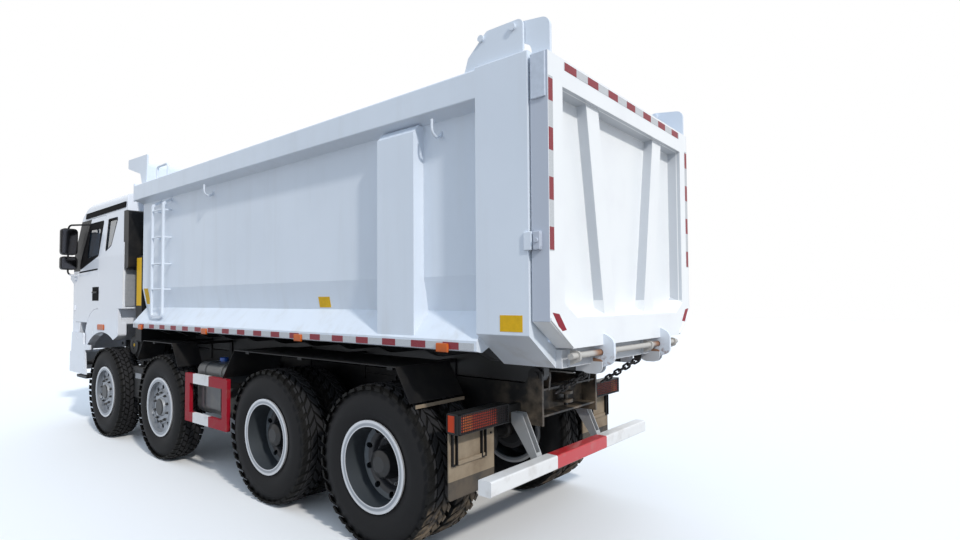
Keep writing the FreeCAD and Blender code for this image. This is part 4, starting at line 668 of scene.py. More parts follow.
def tube(path, radius, sides=12):
    # a circle carried along a path: point + radius * (cos a * side + sin a * over)
    path = np.asarray(path, float)
    ahead = np.gradient(path, axis=0)
    ahead = ahead / np.linalg.norm(ahead, axis=1)[:, None]
    side = np.empty_like(path)
    start = np.cross(ahead[0], [0.0, 0.0, 1.0])
    if np.linalg.norm(start) < 0.1:
        start = np.cross(ahead[0], [0.0, 1.0, 0.0])
    for i, direction in enumerate(ahead):
        start = start - direction * start.dot(direction)
        start = start / np.linalg.norm(start)
        side[i] = start
    over = np.cross(ahead, side)
    a = np.linspace(0, 2 * math.pi, sides, endpoint=False)
    ring = side[:, None] * np.cos(a)[None, :, None] + over[:, None] * np.sin(a)[None, :, None]
    return facingOut(skin(path[:, None] + ring * radius, capStart=True, capEnd=True))


def turned(profile, centre=(0, 0, 0), sides=48, axis="y"):
    # a profile of (along, radius) turned once about an axis through centre: (r cos a, along, r sin a)
    profile = np.asarray(profile, float)
    a = np.linspace(0, 2 * math.pi, sides, endpoint=False)
    along = np.broadcast_to(profile[:, :1], (len(profile), sides))
    u = profile[:, 1:] * np.cos(a)[None]
    w = profile[:, 1:] * np.sin(a)[None]
    parts = {"y": (u, along, w), "x": (along, u, w), "z": (u, w, along)}[axis]
    return skin(np.stack(parts, axis=-1) + np.asarray(centre, float))


def place(name, shape, finishName, body, smooth=False, bevel=0.0):
    # a shape made a mesh object with its finish, riding on a body
    verts, quads, tris = shape
    mesh = bpy.data.meshes.new(name)
    mesh.from_pydata(verts.tolist(), [], quads.tolist() + tris.tolist())
    mesh.polygons.foreach_set("use_smooth", [smooth] * len(mesh.polygons))
    mesh.materials.append(finishes[finishName])
    made = bpy.data.objects.new(name, mesh)
    bpy.context.scene.collection.objects.link(made)
    if smooth:
        mesh.set_sharp_from_angle(angle=math.radians(40))
    if bevel:
        edge = made.modifiers.new("edge", "BEVEL")
        edge.width = bevel
        edge.segments = 2
        edge.limit_method = "ANGLE"
    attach(made, body)
    return made


# tyres with a tread of separate blocks; a row is (middle, breadth, fill, skew, start), the first two as
# shares of the width and the others of the pitch
wheel = {"radius": 0.613, "width": 0.300, "grooveDepth": 0.016, "bead": 0.306, "beadIn": 0.030,
         "bulge": 0.028, "wallFoot": 0.05, "wallHead": 0.045,
         "shoulder": [(0.034, 0.022), (0.046, 0.006), (0.060, 0.0)], "crown": 0.002, "sides": 96,
         "blockRoot": 0.006, "blockEdge": 0.003, "shoulderFrom": 0.33, "shoulderDrop": 0.020}
roadLugs = {"pitches": 44, "rows": [(0.115, 0.19, 0.72, 0.25, 0.0), (0.31, 0.155, 0.80, 0.35, 0.5),
                                    (0.50, 0.155, 0.80, -0.35, 0.0), (0.69, 0.155, 0.80, 0.35, 0.5),
                                    (0.885, 0.19, 0.72, -0.25, 0.0)]}
driveLugs = {"pitches": 38, "rows": [(0.125, 0.22, 0.62, 0.55, 0.0), (0.375, 0.22, 0.70, 0.75, 0.45),
                                     (0.625, 0.22, 0.70, -0.75, 0.05), (0.875, 0.22, 0.62, -0.55, 0.5)]}
grooveRadius = wheel["radius"] - wheel["grooveDepth"]


def carcass():
    # a profile of (y, radius) turned about the axle, its walls bulging as half a sine, closed inside
    width, sides = wheel["width"], wheel["sides"]
    s = np.linspace(0, 1, 13)
    foot, head = wheel["bead"] + wheel["wallFoot"], grooveRadius - wheel["wallHead"]
    bulging = wheel["beadIn"] - wheel["bulge"] * np.sin(math.pi * s) ** 0.8
    wall = np.column_stack([bulging, foot + s * (head - foot)])
    shoulder = [(inset, grooveRadius - drop) for inset, drop in wheel["shoulder"]]
    crown = (width / 2, grooveRadius + wheel["crown"])
    half = np.vstack([[(wheel["beadIn"], wheel["bead"])], wall, shoulder, [crown]])
    other = half[::-1][1:] * [-1, 1] + [width, 0]
    verts, quads, tris = turned(np.vstack([half, other]), sides=sides)
    first = np.arange(sides)
    following = (first + 1) % sides
    last = len(verts) - sides
    closing = np.column_stack([first, last + first, last + following, following])
    return facingOut((verts, np.vstack([quads, closing[:, ::-1]]), tris))


def lugRing(count, middle, breadth, fill, skew, start):
    # a row of blocks bent round the axle, x = r sin a and z = r cos a, each tapering towards its top
    width, depth = wheel["width"], wheel["grooveDepth"]
    halfPitch = math.pi / count
    across, along = np.array([[-0.5, -1], [0.5, -1], [0.5, 1], [-0.5, 1]], float).T
    rings = []
    for level, scale in ((-wheel["blockRoot"], 1.0), (depth - wheel["blockEdge"], 0.97), (depth, 0.90)):
        y = middle * width + across * breadth * width * scale
        a = along * halfPitch * fill * scale + across * 2 * skew * halfPitch
        fromMiddle = np.abs(y / width - 0.5)
        slope = np.clip((fromMiddle - wheel["shoulderFrom"]) / (0.5 - wheel["shoulderFrom"]), 0, 1) ** 2
        rings.append(np.column_stack([a, y, grooveRadius + level - slope * wheel["shoulderDrop"]]))
    a, y, r = np.moveaxis(np.array(rings), -1, 0)
    a = a[None] + (2 * math.pi * (np.arange(count) + start) / count)[:, None, None]
    xyz = np.stack([r * np.sin(a), np.broadcast_to(y, a.shape), r * np.cos(a)], axis=-1)
    one = skin(xyz[0], capEnd=True)
    tips = xyz[:, -1].mean(axis=1)[:, None]
    return facingAway(repeated(np.concatenate([xyz.reshape(count, -1, 3), tips], axis=1), one[1], one[2]))


def facingAway(blocks):
    # blocks round the axle are read backwards if the first one's top looks at the axle
    v, q, t = blocks
    normal = np.cross(v[t[0][1]] - v[t[0][0]], v[t[0][2]] - v[t[0][0]])
    away = v[t[0][0]] * np.array([1.0, 0.0, 1.0])
    return (v, q[:, ::-1], t[:, ::-1]) if normal.dot(away) < 0 else blocks


def tyreShape(y0, side, lugs):
    # carcass and tread as one, from y0 outwards; on the right they are mirrored
    rows = [lugRing(lugs["pitches"], *row) for row in lugs["rows"]]
    whole = moved(stack(carcass(), *rows), (0, y0, 0))
    return whole if side > 0 else mirrored(whole)


nut = {"count": 10, "radius": 0.016, "depth": 0.022, "studShare": 0.5, "studFrom": 0.9, "studTo": 1.5}
single = {"axles": (1, 2), "node": "tyre_%d_%s", "body": "wheel_%d_%s", "lugs": roadLugs, "nutCircle": 0.1675,
          "nutDepth": 0.044, "nutFinish": "hubBlack"}
twin = {"axles": (3, 4), "node": "tyres_%d_%s", "body": "wheels_%d_%s", "lugs": driveLugs, "nutCircle": 0.190,
        "nutDepth": 0.299, "nutFinish": "boltSteel"}


def nutRing(x, y, circle, side):
    # hexagonal nuts in a circle, each with a stud's end in it
    a = np.linspace(0, 2 * math.pi, 6, endpoint=False)
    parts = []
    for share, start, end in ((1.0, 0.0, 1.0), (nut["studShare"], nut["studFrom"], nut["studTo"])):
        radius = nut["radius"] * share
        foot = np.full(6, nut["depth"] * start)
        hexagon = np.column_stack([np.cos(a) * radius, foot, np.sin(a) * radius + circle])
        parts.append(prism(hexagon, (0, nut["depth"] * (end - start), 0)))
    turns = np.linspace(0, 2 * math.pi, nut["count"], endpoint=False)
    ring = moved(turnedAboutY(stack(*parts), turns), (0, y, 0))
    return moved(ring if side > 0 else mirrored(ring), (x, 0, axleZ))


for sideName, side in (("left", 1), ("right", -1)):
    for kind in (single, twin):
        for number in kind["axles"]:
            node, body = kind["node"] % (number, sideName), kind["body"] % (number, sideName)
            low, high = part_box(node)
            inner, outer = (low[1], high[1]) if side > 0 else (-high[1], -low[1])
            starts = [outer - wheel["width"], inner] if kind is twin else [inner]
            tyres = stack(*[tyreShape(y0, side, kind["lugs"]) for y0 in starts])
            tyres = moved(tyres, (axleX[number], 0, axleZ))
            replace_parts(place(node + "_tread", tyres, "tyreRubberAndPaintedLight", body, smooth=True), node)
            nuts = nutRing(axleX[number], outer - kind["nutDepth"], kind["nutCircle"], side)
            place("nuts_%d_%s" % (number, sideName), nuts, kind["nutFinish"], body)
print("wheels dressed")

# bed: tape, marker lamps, tarp hooks, labels
bed = {"rear": lowOf("bed_tub").x, "front": highOf("side_rails").x - 0.026, "wall": 1.130,
       "rub": highOf("side_rails").y, "post": 0.388, "crease": 2.030, "slopeLow": 1.790, "slopeIn": 0.050}
proud = 0.0015  # tape and labels stand this far off the sheet


def strip(low, high, axis):  # a thin flat field laid on a face
    return block(low, high, 0.0004, axis)


def sheetY(z):  # the side sheet: upright above its crease, leaning in below it
    down = np.clip((bed["crease"] - z) / (bed["crease"] - bed["slopeLow"]), 0, 1)
    return bed["wall"] - bed["slopeIn"] * down


railTape = {"z": (1.537, 1.585), "rearGap": 0.02, "frontGap": 0.05, "sunk": 0.0008}
tapeStart = bed["rear"] + bed["post"] + railTape["rearGap"]
tape = strip((tapeStart, bed["rub"] - railTape["sunk"], railTape["z"][0]),
             (bed["front"] - railTape["frontGap"], bed["rub"] + proud, railTape["z"][1]), "x")
place("rubRailTape", bothSides(tape), "tapeAlongX", "bed")

marker = {"x": [1.470, -0.168, -1.826, -3.446], "length": 0.110, "depth": 0.020, "height": 0.060, "z": 1.546,
          "radius": 0.008, "sunk": 0.001}
lenses = [block((x - marker["length"] / 2, bed["rub"] - marker["sunk"], marker["z"] - marker["height"] / 2),
                (x + marker["length"] / 2, bed["rub"] + marker["depth"], marker["z"] + marker["height"] / 2),
                marker["radius"]) for x in marker["x"]]
place("markerLamps", bothSides(stack(*lenses)), "amberLens", "bed", smooth=True)

hook = {"x": [-0.09, -3.34], "reach": 0.052, "wire": 0.010, "z": 3.055, "tip": 3.118, "steps": 18}
turn = np.linspace(math.pi, 2 * math.pi, hook["steps"])
hooks = []
for x in hook["x"]:  # half a circle below, then straight up: y = wall + r + r cos a, z = z0 + r sin a
    bow = np.column_stack([np.full(hook["steps"], x), bed["wall"] + hook["reach"] * (1 + np.cos(turn)),
                           hook["z"] + hook["reach"] * np.sin(turn)])
    hooks.append(tube(np.vstack([bow, [x, bow[-1][1], hook["tip"]]]), hook["wire"], 10))
place("tarpHooks", bothSides(stack(*hooks)), "whitePlate", "bed", smooth=True)

label = {"onSheet": [((1.575, 1.693), (1.83, 2.03)), ((-2.060, -1.905), (1.805, 1.897))],
         "onPostX": (-4.068, -3.905), "onPostZ": (1.668, 1.769), "thick": 0.002, "sunk": 0.0005}
labels = [plateOn(sheetY, x, z, proud, label["thick"]) for x, z in label["onSheet"]]
labels.append(strip((label["onPostX"][0], bed["rub"] - label["sunk"], label["onPostZ"][0]),
                    (label["onPostX"][1], bed["rub"] + proud, label["onPostZ"][1]), "x"))
place("blankLabels", stack(*labels), "blankSticker", "bed")

# tailgate: tape, a lip along each side of the foot, a catch and an edge plate each side
gate = {"rear": lowOf("tailgate").x, "front": highOf("tailgate").x, "half": highOf("tailgate").y,
        "top": highOf("tailgate").z, "low": lowOf("tailgate").z, "sideLow": 1.735, "keel": 0.955}
gateTape = {"sunk": 0.001, "headHalf": 1.03, "headZ": (3.272, 3.324), "stileY": (1.173, 1.224),
            "stileZ": (2.150, 3.190), "footThick": 0.002,
            "foot": [(1.200, 1.787), (1.122, 1.778), (1.034, 1.680), (1.103, 1.673)]}
face, back = gate["rear"] - proud, gate["rear"] + gateTape["sunk"]
headTape = strip((face, -gateTape["headHalf"], gateTape["headZ"][0]),
                 (back, gateTape["headHalf"], gateTape["headZ"][1]), "y")
place("gateTapeHead", headTape, "tapeAlongY", "tailgate")
stileTape = strip((face, gateTape["stileY"][0], gateTape["stileZ"][0]),
                  (back, gateTape["stileY"][1], gateTape["stileZ"][1]), "z")
place("gateTapeStiles", bothSides(stileTape), "tapeAlongZ", "tailgate")
footTape = prism([(face, y, z) for y, z in gateTape["foot"]], (gateTape["footThick"], 0, 0))
place("gateTapeFoot", bothSides(footTape), "redTape", "tailgate")

lip = {"sideIn": 0.004, "sideRise": (0.006, 0.024), "keelOut": 0.003, "keelIn": 0.004,
       "keelRise": (0.004, 0.018), "thick": 0.010, "sunk": 0.001, "bevel": 0.002}
lipOutline = [(gate["half"] - lip["sideIn"], gate["sideLow"] + lip["sideRise"][0]),
              (gate["keel"] + lip["keelOut"], gate["low"] + lip["keelRise"][0]),
              (gate["keel"] - lip["keelIn"], gate["low"] + lip["keelRise"][1]),
              (gate["half"] - lip["sideIn"], gate["sideLow"] + lip["sideRise"][1])]
gateLip = prism([(gate["rear"] + lip["sunk"], y, z) for y, z in lipOutline], (-lip["thick"], 0, 0))
place("gateLip", bothSides(gateLip), "gatePaintAndPaintedLight", "tailgate", bevel=lip["bevel"])

catch = {"rear": -4.199, "split": -4.144, "gap": (0.002, 0.003), "onPost": 0.030, "z": (2.156, 2.268),
         "y": 1.262, "sunk": (0.002, 0.004), "radius": (0.006, 0.005), "boltX": -4.172, "boltZ": 2.212,
         "bevel": 0.002}
catchBolt = [(0.0, 0.001), (0.0, 0.016), (0.008, 0.014), (0.008, 0.001)]
gateHalf = stack(block((catch["rear"], gate["half"] - catch["sunk"][0], catch["z"][0]),
                       (catch["split"] - catch["gap"][0], catch["y"], catch["z"][1]), catch["radius"][0]),
                 turned([(catch["y"] + out, radius) for out, radius in catchBolt],
                        (catch["boltX"], 0, catch["boltZ"]), 20))
bedHalf = block((catch["split"] + catch["gap"][1], bed["rub"] - catch["sunk"][1], catch["z"][0]),
                (bed["rear"] + catch["onPost"], catch["y"], catch["z"][1]), catch["radius"][1])
place("gateCatch", bothSides(gateHalf), "gatePaintAndPaintedLight", "tailgate", bevel=catch["bevel"])
place("catchPlate", bothSides(bedHalf), "bedPaint", "bed", bevel=catch["bevel"])

edgePlate = {"low": 3.060, "topGap": 0.002, "rearGap": 0.012, "frontGap": 0.006, "out": 0.012, "sunk": 0.002,
             "radius": 0.004}
# painted shade: these plates take the bluish grey of the gate's shaded sides
armPlate = block((gate["rear"] + edgePlate["rearGap"], gate["half"] - edgePlate["sunk"], edgePlate["low"]),
                 (gate["front"] - edgePlate["frontGap"], gate["half"] + edgePlate["out"],
                  gate["top"] - edgePlate["topGap"]), edgePlate["radius"], "z")
place("gateArmPlates", bothSides(armPlate), "gateSideShade", "tailgate")
print("bed dressed")

# tail: a wire grille and frame over each lamp, straps, shelf and bolts on the flaps, a mudguard hem
lamp = {"face": lowOf("lamps").x, "out": highOf("lamps").y, "in": 0.668, "low": 0.975, "high": 1.112,
        "wire": 0.0022, "flat": 0.002, "standOff": 0.010, "pitch": 0.0225, "rows": 7, "radius": 0.0008,
        "firstWire": 0.020, "lastWire": 0.012, "levelGap": 0.016, "wireGap": 0.004, "frame": (0.014, 0.004),
        "frameRadius": 0.002, "flangeZ": 0.009, "innerPost": 0.010, "outerPost": 0.016,
        "endPosts": [(-3.546, -3.534), (-3.476, -3.466)], "endOut": (0.001, 0.004), "endGap": 0.008}
wireX = lamp["face"] - lamp["standOff"]
columns = np.arange(lamp["in"] + lamp["firstWire"], lamp["out"] - lamp["lastWire"], lamp["pitch"])
levels = np.linspace(lamp["low"] + lamp["levelGap"], lamp["high"] - lamp["levelGap"], lamp["rows"])
upright = block((wireX - lamp["flat"], -lamp["wire"], lamp["low"] + lamp["wireGap"]),
                (wireX + lamp["flat"], lamp["wire"], lamp["high"] - lamp["wireGap"]), lamp["radius"], "z")
level = block((wireX - lamp["flat"], lamp["in"] + lamp["wireGap"], -lamp["wire"]),
              (wireX + lamp["flat"], lamp["out"] - lamp["wireGap"], lamp["wire"]), lamp["radius"], "y")
grille = stack(copies(upright, [(0, y, 0) for y in columns]), copies(level, [(0, 0, z) for z in levels]))
frameRear, frameFront = lamp["face"] - lamp["frame"][0], lamp["face"] + lamp["frame"][1]
lampFrame = [block((frameRear, lamp["in"], z), (frameFront, lamp["out"], z + lamp["flangeZ"]),
                   lamp["frameRadius"], "y") for z in (lamp["low"], lamp["high"] - lamp["flangeZ"])]
posts = ((lamp["in"], lamp["innerPost"]), (lamp["out"] - lamp["outerPost"], lamp["outerPost"]))
lampFrame += [block((frameRear, y, lamp["low"]), (frameFront, y + width, lamp["high"]),
                    lamp["frameRadius"], "z") for y, width in posts]
lampFrame += [block((rear, lamp["out"] - lamp["endOut"][0], lamp["low"] + lamp["endGap"]),
                    (front, lamp["out"] + lamp["endOut"][1], lamp["high"] - lamp["endGap"]),
                    lamp["frameRadius"], "z") for rear, front in lamp["endPosts"]]
place("lampGrilles", bothSides(stack(grille, *lampFrame)), "blackPlastic", "chassis")

flapX = lowOf("mud_flaps").x
strap = {"x": (flapX - 0.022, flapX - 0.002), "y": ((1.150, 1.196), (0.822, 0.868)), "half": 0.004,
         "foot": 0.007, "low": 0.750, "high": lamp["low"] - 0.002, "radius": 0.001}
straps = []
for inner, outer in strap["y"]:
    straps += [block((strap["x"][0], y - strap["half"], strap["low"]),
                     (strap["x"][1], y + strap["half"], strap["high"]), strap["radius"], "z")
               for y in (inner, outer)]
    straps.append(block((strap["x"][0], inner, strap["low"]),
                        (strap["x"][1], outer, strap["low"] + strap["foot"]), strap["radius"], "y"))
place("flapStraps", bothSides(stack(*straps)), "blackPlastic", "chassis")

shelf = {"depth": (0.016, 0.001), "y": (0.830, 1.135), "z": (0.748, 0.776), "radius": 0.002}
flapShelf = block((flapX - shelf["depth"][0], shelf["y"][0], shelf["z"][0]),
                  (flapX - shelf["depth"][1], shelf["y"][1], shelf["z"][1]), shelf["radius"], "y")
place("flapShelf", bothSides(flapShelf), "tanPlate", "chassis")
flapBolt = {"at": [(1.175, 0.925), (0.74, 0.90), (1.10, 0.762)], "height": 0.006, "radius": 0.008}
boltProfile = [(flapX - flapBolt["height"], 0.001), (flapX - flapBolt["height"], flapBolt["radius"]),
               (flapX, flapBolt["radius"])]
bolts = [turned(boltProfile, (0, y, z), 10, "x") for y, z in flapBolt["at"]]
place("flapBolts", bothSides(stack(*bolts)), "blackPlastic", "chassis")

hem = {"y": (0.620, 1.180), "rise": (0.002, 0.028), "half": 0.004, "radius": 0.001}
guardLow = lowOf("mudguards")
guardHem = block((guardLow.x - hem["half"], hem["y"][0], guardLow.z + hem["rise"][0]),
                 (guardLow.x + hem["half"], hem["y"][1], guardLow.z + hem["rise"][1]), hem["radius"], "y")
place("mudguardHems", bothSides(guardHem), "tanPlate", "chassis")
print("tail dressed")

# cab: window surrounds, handle recess, drip strip, a black pad behind and a grey sheet of painted shade below
# it, lamps, mirror glass
cab = {"rear": 2.155, "half": highOf("cab_shell").y, "leanFrom": 2.36, "lean": 0.0874, "round": 0.28}


def sideY(z):  # the cab's side: upright below, leaning in above a rounded shoulder
    rise = np.clip(z - cab["leanFrom"], 0, None)
    bend = np.where(rise < cab["round"], rise ** 2 / (2 * cab["round"]), rise - cab["round"] / 2)
    return cab["half"] - cab["lean"] * bend


def onSide(corners, offset, thick, steps=10):  # a four-cornered plate laid on the cab's side
    return bentPlate(corners, lambda z: sideY(z) + offset, thick, steps)


def frameRing(window):  # a flat ring between two four-sided outlines
    outer, inner = window["outer"], window["inner"]
    quarters = [[outer[i], outer[(i + 1) % 4], inner[(i + 1) % 4], inner[i]] for i in range(4)]
    return stack(*[onSide(corners, surround["offset"], surround["thick"], 6) for corners in quarters])


surround = {"offset": -0.007, "thick": 0.004}
doorWindow = {"outer": [(3.074, 2.522), (3.862, 2.338), (3.572, 3.036), (2.990, 3.036)],
              "inner": [(3.105, 2.545), (3.560, 2.515), (3.560, 2.945), (3.125, 2.930)]}
quarterWindow = {"outer": [(2.614, 2.642), (2.846, 2.560), (2.846, 3.036), (2.460, 3.036)],
                 "inner": [(2.640, 2.655), (2.818, 2.592), (2.822, 3.010), (2.520, 3.012)]}
recess = {"x": (3.035, 3.290), "z": (1.878, 2.077), "offset": 0.002, "thick": 0.003}
beltLine = {"corners": [(3.090, 2.325), (3.855, 2.300), (3.855, 2.322), (3.090, 2.345)], "offset": 0.003,
            "thick": 0.004}
handle = {"x": (3.060, 3.265), "z": (1.985, 2.012), "out": (0.002, 0.022), "radius": 0.008}
doorTrim = stack(frameRing(doorWindow),
                 plateOn(sideY, recess["x"], recess["z"], recess["offset"], recess["thick"]),
                 onSide(beltLine["corners"], beltLine["offset"], beltLine["thick"]))
doorGrip = block((handle["x"][0], cab["half"] + handle["out"][0], handle["z"][0]),
                 (handle["x"][1], cab["half"] + handle["out"][1], handle["z"][1]), handle["radius"])
for side, turnOver in (("left", False), ("right", True)):
    trim, grip = (mirrored(shape) if turnOver else shape for shape in (doorTrim, doorGrip))
    place("doorTrim_" + side, trim, "windowBlack", "door_" + side)
    place("doorGrip_" + side, grip, "blackPlastic", "door_" + side, smooth=True)
place("quarterTrim", bothSides(frameRing(quarterWindow)), "windowBlack", "cab")

drip = {"corners": [(2.225, 3.150), (3.765, 3.127), (3.765, 3.206), (2.225, 3.222)], "offset": 0.010,
        "thick": 0.014, "bevel": 0.003}
dripStrip = onSide(drip["corners"], drip["offset"], drip["thick"], 8)
place("dripStrips", bothSides(dripStrip), "windowBlack", "cab", bevel=drip["bevel"])

pad = {"low": 1.80, "split": 2.30, "high": 3.08, "upperY": (-1.08, 0.90), "upperX": (0.036, 0.012),
       "lowerY": (-1.19, 1.195), "lowerX": (0.016, -0.006), "gap": 0.01, "radius": (0.01, 0.006)}
upperPad = block((cab["rear"] - pad["upperX"][0], pad["upperY"][0], pad["split"]),
                 (cab["rear"] - pad["upperX"][1], pad["upperY"][1], pad["high"]), pad["radius"][0], "y")
# painted shade: a grey sheet on the cab's white rear wall, below the black pad
shadeSheet = block((cab["rear"] - pad["lowerX"][0], pad["lowerY"][0], pad["low"]),
                 (cab["rear"] - pad["lowerX"][1], pad["lowerY"][1], pad["split"] - pad["gap"]),
                 pad["radius"][1], "y")
place("cabRearPad", upperPad, "windowBlack", "cab")
place("cabRearPaintedShade", shadeSheet, "greyLabelAndPaintedShade", "cab")

fender = {"x": (2.800, 3.050), "z": (1.462, 1.541), "out": 0.012, "sunk": 0.002, "radius": 0.012}
fenderLamp = block((fender["x"][0], cab["half"] - fender["sunk"], fender["z"][0]),
                   (fender["x"][1], cab["half"] + fender["out"], fender["z"][1]), fender["radius"])
place("fenderLamps", bothSides(fenderLamp), "amberLens", "cab", smooth=True)

mirror = {"x": (3.8365, 3.8395), "y": (1.273, 1.471), "z": ((2.591, 2.959), (2.366, 2.534)), "radius": 0.03}
panes = stack(*[block((mirror["x"][0], mirror["y"][0], foot), (mirror["x"][1], mirror["y"][1], head),
                      mirror["radius"]) for foot, head in mirror["z"]])
for side, turnOver in (("left", False), ("right", True)):
    pane = mirrored(panes) if turnOver else panes
    place("mirrorGlass_" + side, pane, "mirrorGlass", "door_" + side)
print("cab dressed")

# chassis side: battery lid and label, tank cap, air-filter rings
battery = {"lidEnds": 0.005, "lidZ": (0.055, 0.010), "lidOut": (0.001, 0.008), "labelEnds": (0.08, 0.06),
           "labelZ": (0.861, 0.930), "sunk": 0.0005, "radius": 0.003}
boxLow, boxHigh = lowOf("battery_box"), highOf("battery_box")
lid = block((boxLow.x + battery["lidEnds"], boxHigh.y - battery["lidOut"][0],
             boxHigh.z - battery["lidZ"][0]),
            (boxHigh.x - battery["lidEnds"], boxHigh.y + battery["lidOut"][1],
             boxHigh.z - battery["lidZ"][1]), battery["radius"])
place("batteryLid", lid, "blackPlastic", "chassis")
batteryLabel = strip((boxLow.x + battery["labelEnds"][0], boxHigh.y - battery["sunk"], battery["labelZ"][0]),
                     (boxHigh.x - battery["labelEnds"][1], boxHigh.y + proud, battery["labelZ"][1]), "x")
place("batteryLabel", batteryLabel, "greyLabelAndPaintedShade", "chassis")

tankCap = {"x": 0.060, "y": 0.900, "z": highOf("fuel_tank").z,
           "profile": [(-0.012, 0.001), (-0.012, 0.050), (0.030, 0.048), (0.034, 0.040), (0.034, 0.001)]}
cap = turned([(tankCap["z"] + rise, radius) for rise, radius in tankCap["profile"]],
             (tankCap["x"], tankCap["y"], 0), 28, "z")
place("tankCap", cap, "blueCap", "chassis", smooth=True)

air = {"x": (lowOf("air_filter").x + highOf("air_filter").x) / 2, "z": 1.280, "out": highOf("air_filter").y,
       "ringY": (0.66, 0.98), "rings": 6,
       "ring": [(0.0, 0.150), (0.006, 0.177), (0.016, 0.177), (0.022, 0.150)],
       "lid": [(-0.004, 0.130), (0.010, 0.124), (0.010, 0.060), (0.004, 0.054), (0.004, 0.001)],
       "mark": [(0.003, 0.022), (0.007, 0.021), (0.007, 0.001)]}


def roundFilter(profile, start, sides=48):
    # a profile turned about the filter's axis, its lengths counted from start
    return turned([(start + along, radius) for along, radius in profile], (air["x"], 0, air["z"]), sides)


rings = [roundFilter(air["ring"], y) for y in np.linspace(*air["ringY"], air["rings"])]
rings.append(roundFilter(air["lid"], air["out"]))
place("filterRings", stack(*rings), "blackPlastic", "chassis", smooth=True)
place("filterMark", roundFilter(air["mark"], air["out"], 24), "blankSticker", "chassis")
print("chassis dressed")

# wipers
wiper = {"screenX": 4.216, "foot": 2.20, "lean": 0.32, "sweeps": ((0.80, 0.15), (-0.05, -0.70)),
         "armOff": 0.035, "armRise": 0.20, "armShare": 0.55, "armWire": 0.007, "bladeFoot": 2.30,
         "bladeOff": 0.022, "bladeRise": 0.18, "bladeBefore": 0.15, "bladeMore": 0.1, "bladeWire": 0.006}


def onScreen(y, z, off):  # points just ahead of the windscreen, whose x falls back with height
    return np.column_stack([wiper["screenX"] - (z - wiper["foot"]) * wiper["lean"] + off, y, z])


spread = np.linspace(0, 1, 8)
blades = []
for start, end in wiper["sweeps"]:  # an arm from the foot of the windscreen and a blade across it
    arm = onScreen(start + (end - start) * spread * wiper["armShare"],
                   wiper["foot"] + spread * wiper["armRise"], wiper["armOff"])
    blade = onScreen(start - wiper["bladeBefore"] + (end - start - wiper["bladeMore"]) * spread,
                     wiper["bladeFoot"] + spread * wiper["bladeRise"], wiper["bladeOff"])
    blades += [tube(arm, wiper["armWire"], 8), tube(blade, wiper["bladeWire"], 8)]
place("wipers", stack(*blades), "blackPlastic", "cab", smooth=True)
print("wipers placed")

# camera, light, floor
eye = {"place": (-5.931, 4.202, 1.856), "yaw": -0.830, "pitch": 0.034, "roll": -0.003, "lens": 21.53,
       "sensor": 36.0, "shiftX": 0.0634, "shiftY": 0.0122, "clipEnd": 200.0}


def aimCamera(eye):
    # forward from yaw and pitch; right and up, turned by the roll, complete the camera's axes
    forward = Vector((math.cos(eye["yaw"]) * math.cos(eye["pitch"]),
                      math.sin(eye["yaw"]) * math.cos(eye["pitch"]), math.sin(eye["pitch"])))
    right = forward.cross(Vector((0, 0, 1))).normalized()
    up = right.cross(forward)
    c, s = math.cos(eye["roll"]), math.sin(eye["roll"])
    across, above = c * right + s * up, c * up - s * right
    data = bpy.data.cameras.new("camera")
    data.lens, data.sensor_width = eye["lens"], eye["sensor"]
    data.shift_x, data.shift_y = eye["shiftX"], eye["shiftY"]
    data.clip_end = eye["clipEnd"]
    camera = bpy.data.objects.new("camera", data)
    matrix = camera.matrix_world.copy()
    for column, vector in enumerate((across, above, -forward, Vector(eye["place"]))):
        for row in range(3):
            matrix[row][column] = vector[row]
    camera.matrix_world = matrix
    bpy.context.scene.collection.objects.link(camera)
    bpy.context.scene.camera = camera


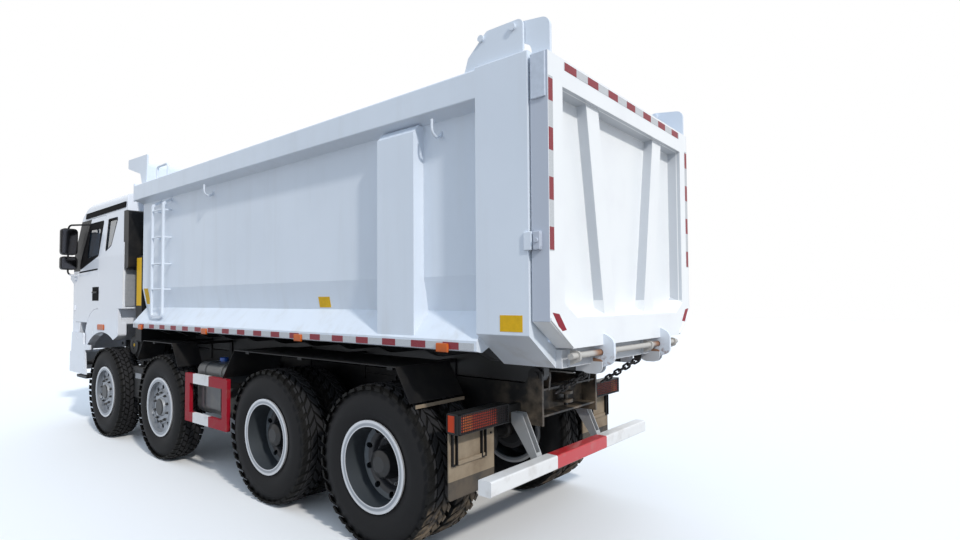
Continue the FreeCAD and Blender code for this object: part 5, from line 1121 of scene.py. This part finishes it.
aimCamera(eye)
studio = {"ambient": 0.80, "skyRise": 0.30, "sky": rgb(0.78, 0.92, 1.10), "key": 2.2, "keyAngle": 0.06,
          "keyColour": (1.0, 0.965, 0.91), "keyTravel": (0.76, -0.235, -0.60), "floorReach": 60.0,
          "floorDark": rgb(0.26, 0.24, 0.22), "floorPale": rgb(0.90, 0.90, 0.90)}
sun = bpy.data.lights.new("keyLight", "SUN")
sun.energy, sun.angle, sun.color = studio["key"], studio["keyAngle"], studio["keyColour"]
sunObject = bpy.data.objects.new("keyLight", sun)
sunObject.rotation_euler = Vector(studio["keyTravel"]).to_track_quat("-Z", "Y").to_euler()
bpy.context.scene.collection.objects.link(sunObject)


def seenStraight(tree):  # 1 for what the camera sees itself, in a mirror or through glass
    camera = source(tree, "ShaderNodeLightPath", "Is Camera Ray")
    rays = camera.socket.node.outputs
    return (camera + Wire(tree, rays["Is Glossy Ray"]) + Wire(tree, rays["Is Transmission Ray"])).least(1.0)


world = bpy.data.worlds.new("studioWorld")
bpy.context.scene.world = world
world.use_nodes = True
sky = world.node_tree
seen = seenStraight(sky)
upward = source(sky, "ShaderNodeTexCoord", "Generated").axes()[2]
ambient = upward.ramp(-0.2, 1.0) * studio["skyRise"] + (studio["ambient"] - studio["skyRise"] / 2)
strength = seen * (1 - ambient) + ambient  # 1 where it is seen, the ambient strength in its light
background = sky.nodes["Background"].inputs
sky.links.new(strength.socket, background["Strength"])
sky.links.new(seen.mix(studio["sky"], rgb(1, 1, 1)).socket, background["Color"])


def floorLook(at, x, y, z):  # pale to the eye, darker in the light it sends back up
    seenPale = seenStraight(at.tree).mix(studio["floorDark"], studio["floorPale"])
    return {"Base Color": seenPale, "Roughness": 0.9}


reach = studio["floorReach"]
floor = bpy.data.meshes.new("floor")
floor.from_pydata([(-reach, -reach, 0), (reach, -reach, 0), (reach, reach, 0), (-reach, reach, 0)], [],
                  [(0, 1, 2, 3)])
floor.materials.append(finish("floorPale", floorLook))
floorObject = bpy.data.objects.new("floor", floor)
bpy.context.scene.collection.objects.link(floorObject)
floorObject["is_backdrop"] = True

bpy.context.scene.view_settings.view_transform = "Standard"
low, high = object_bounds()
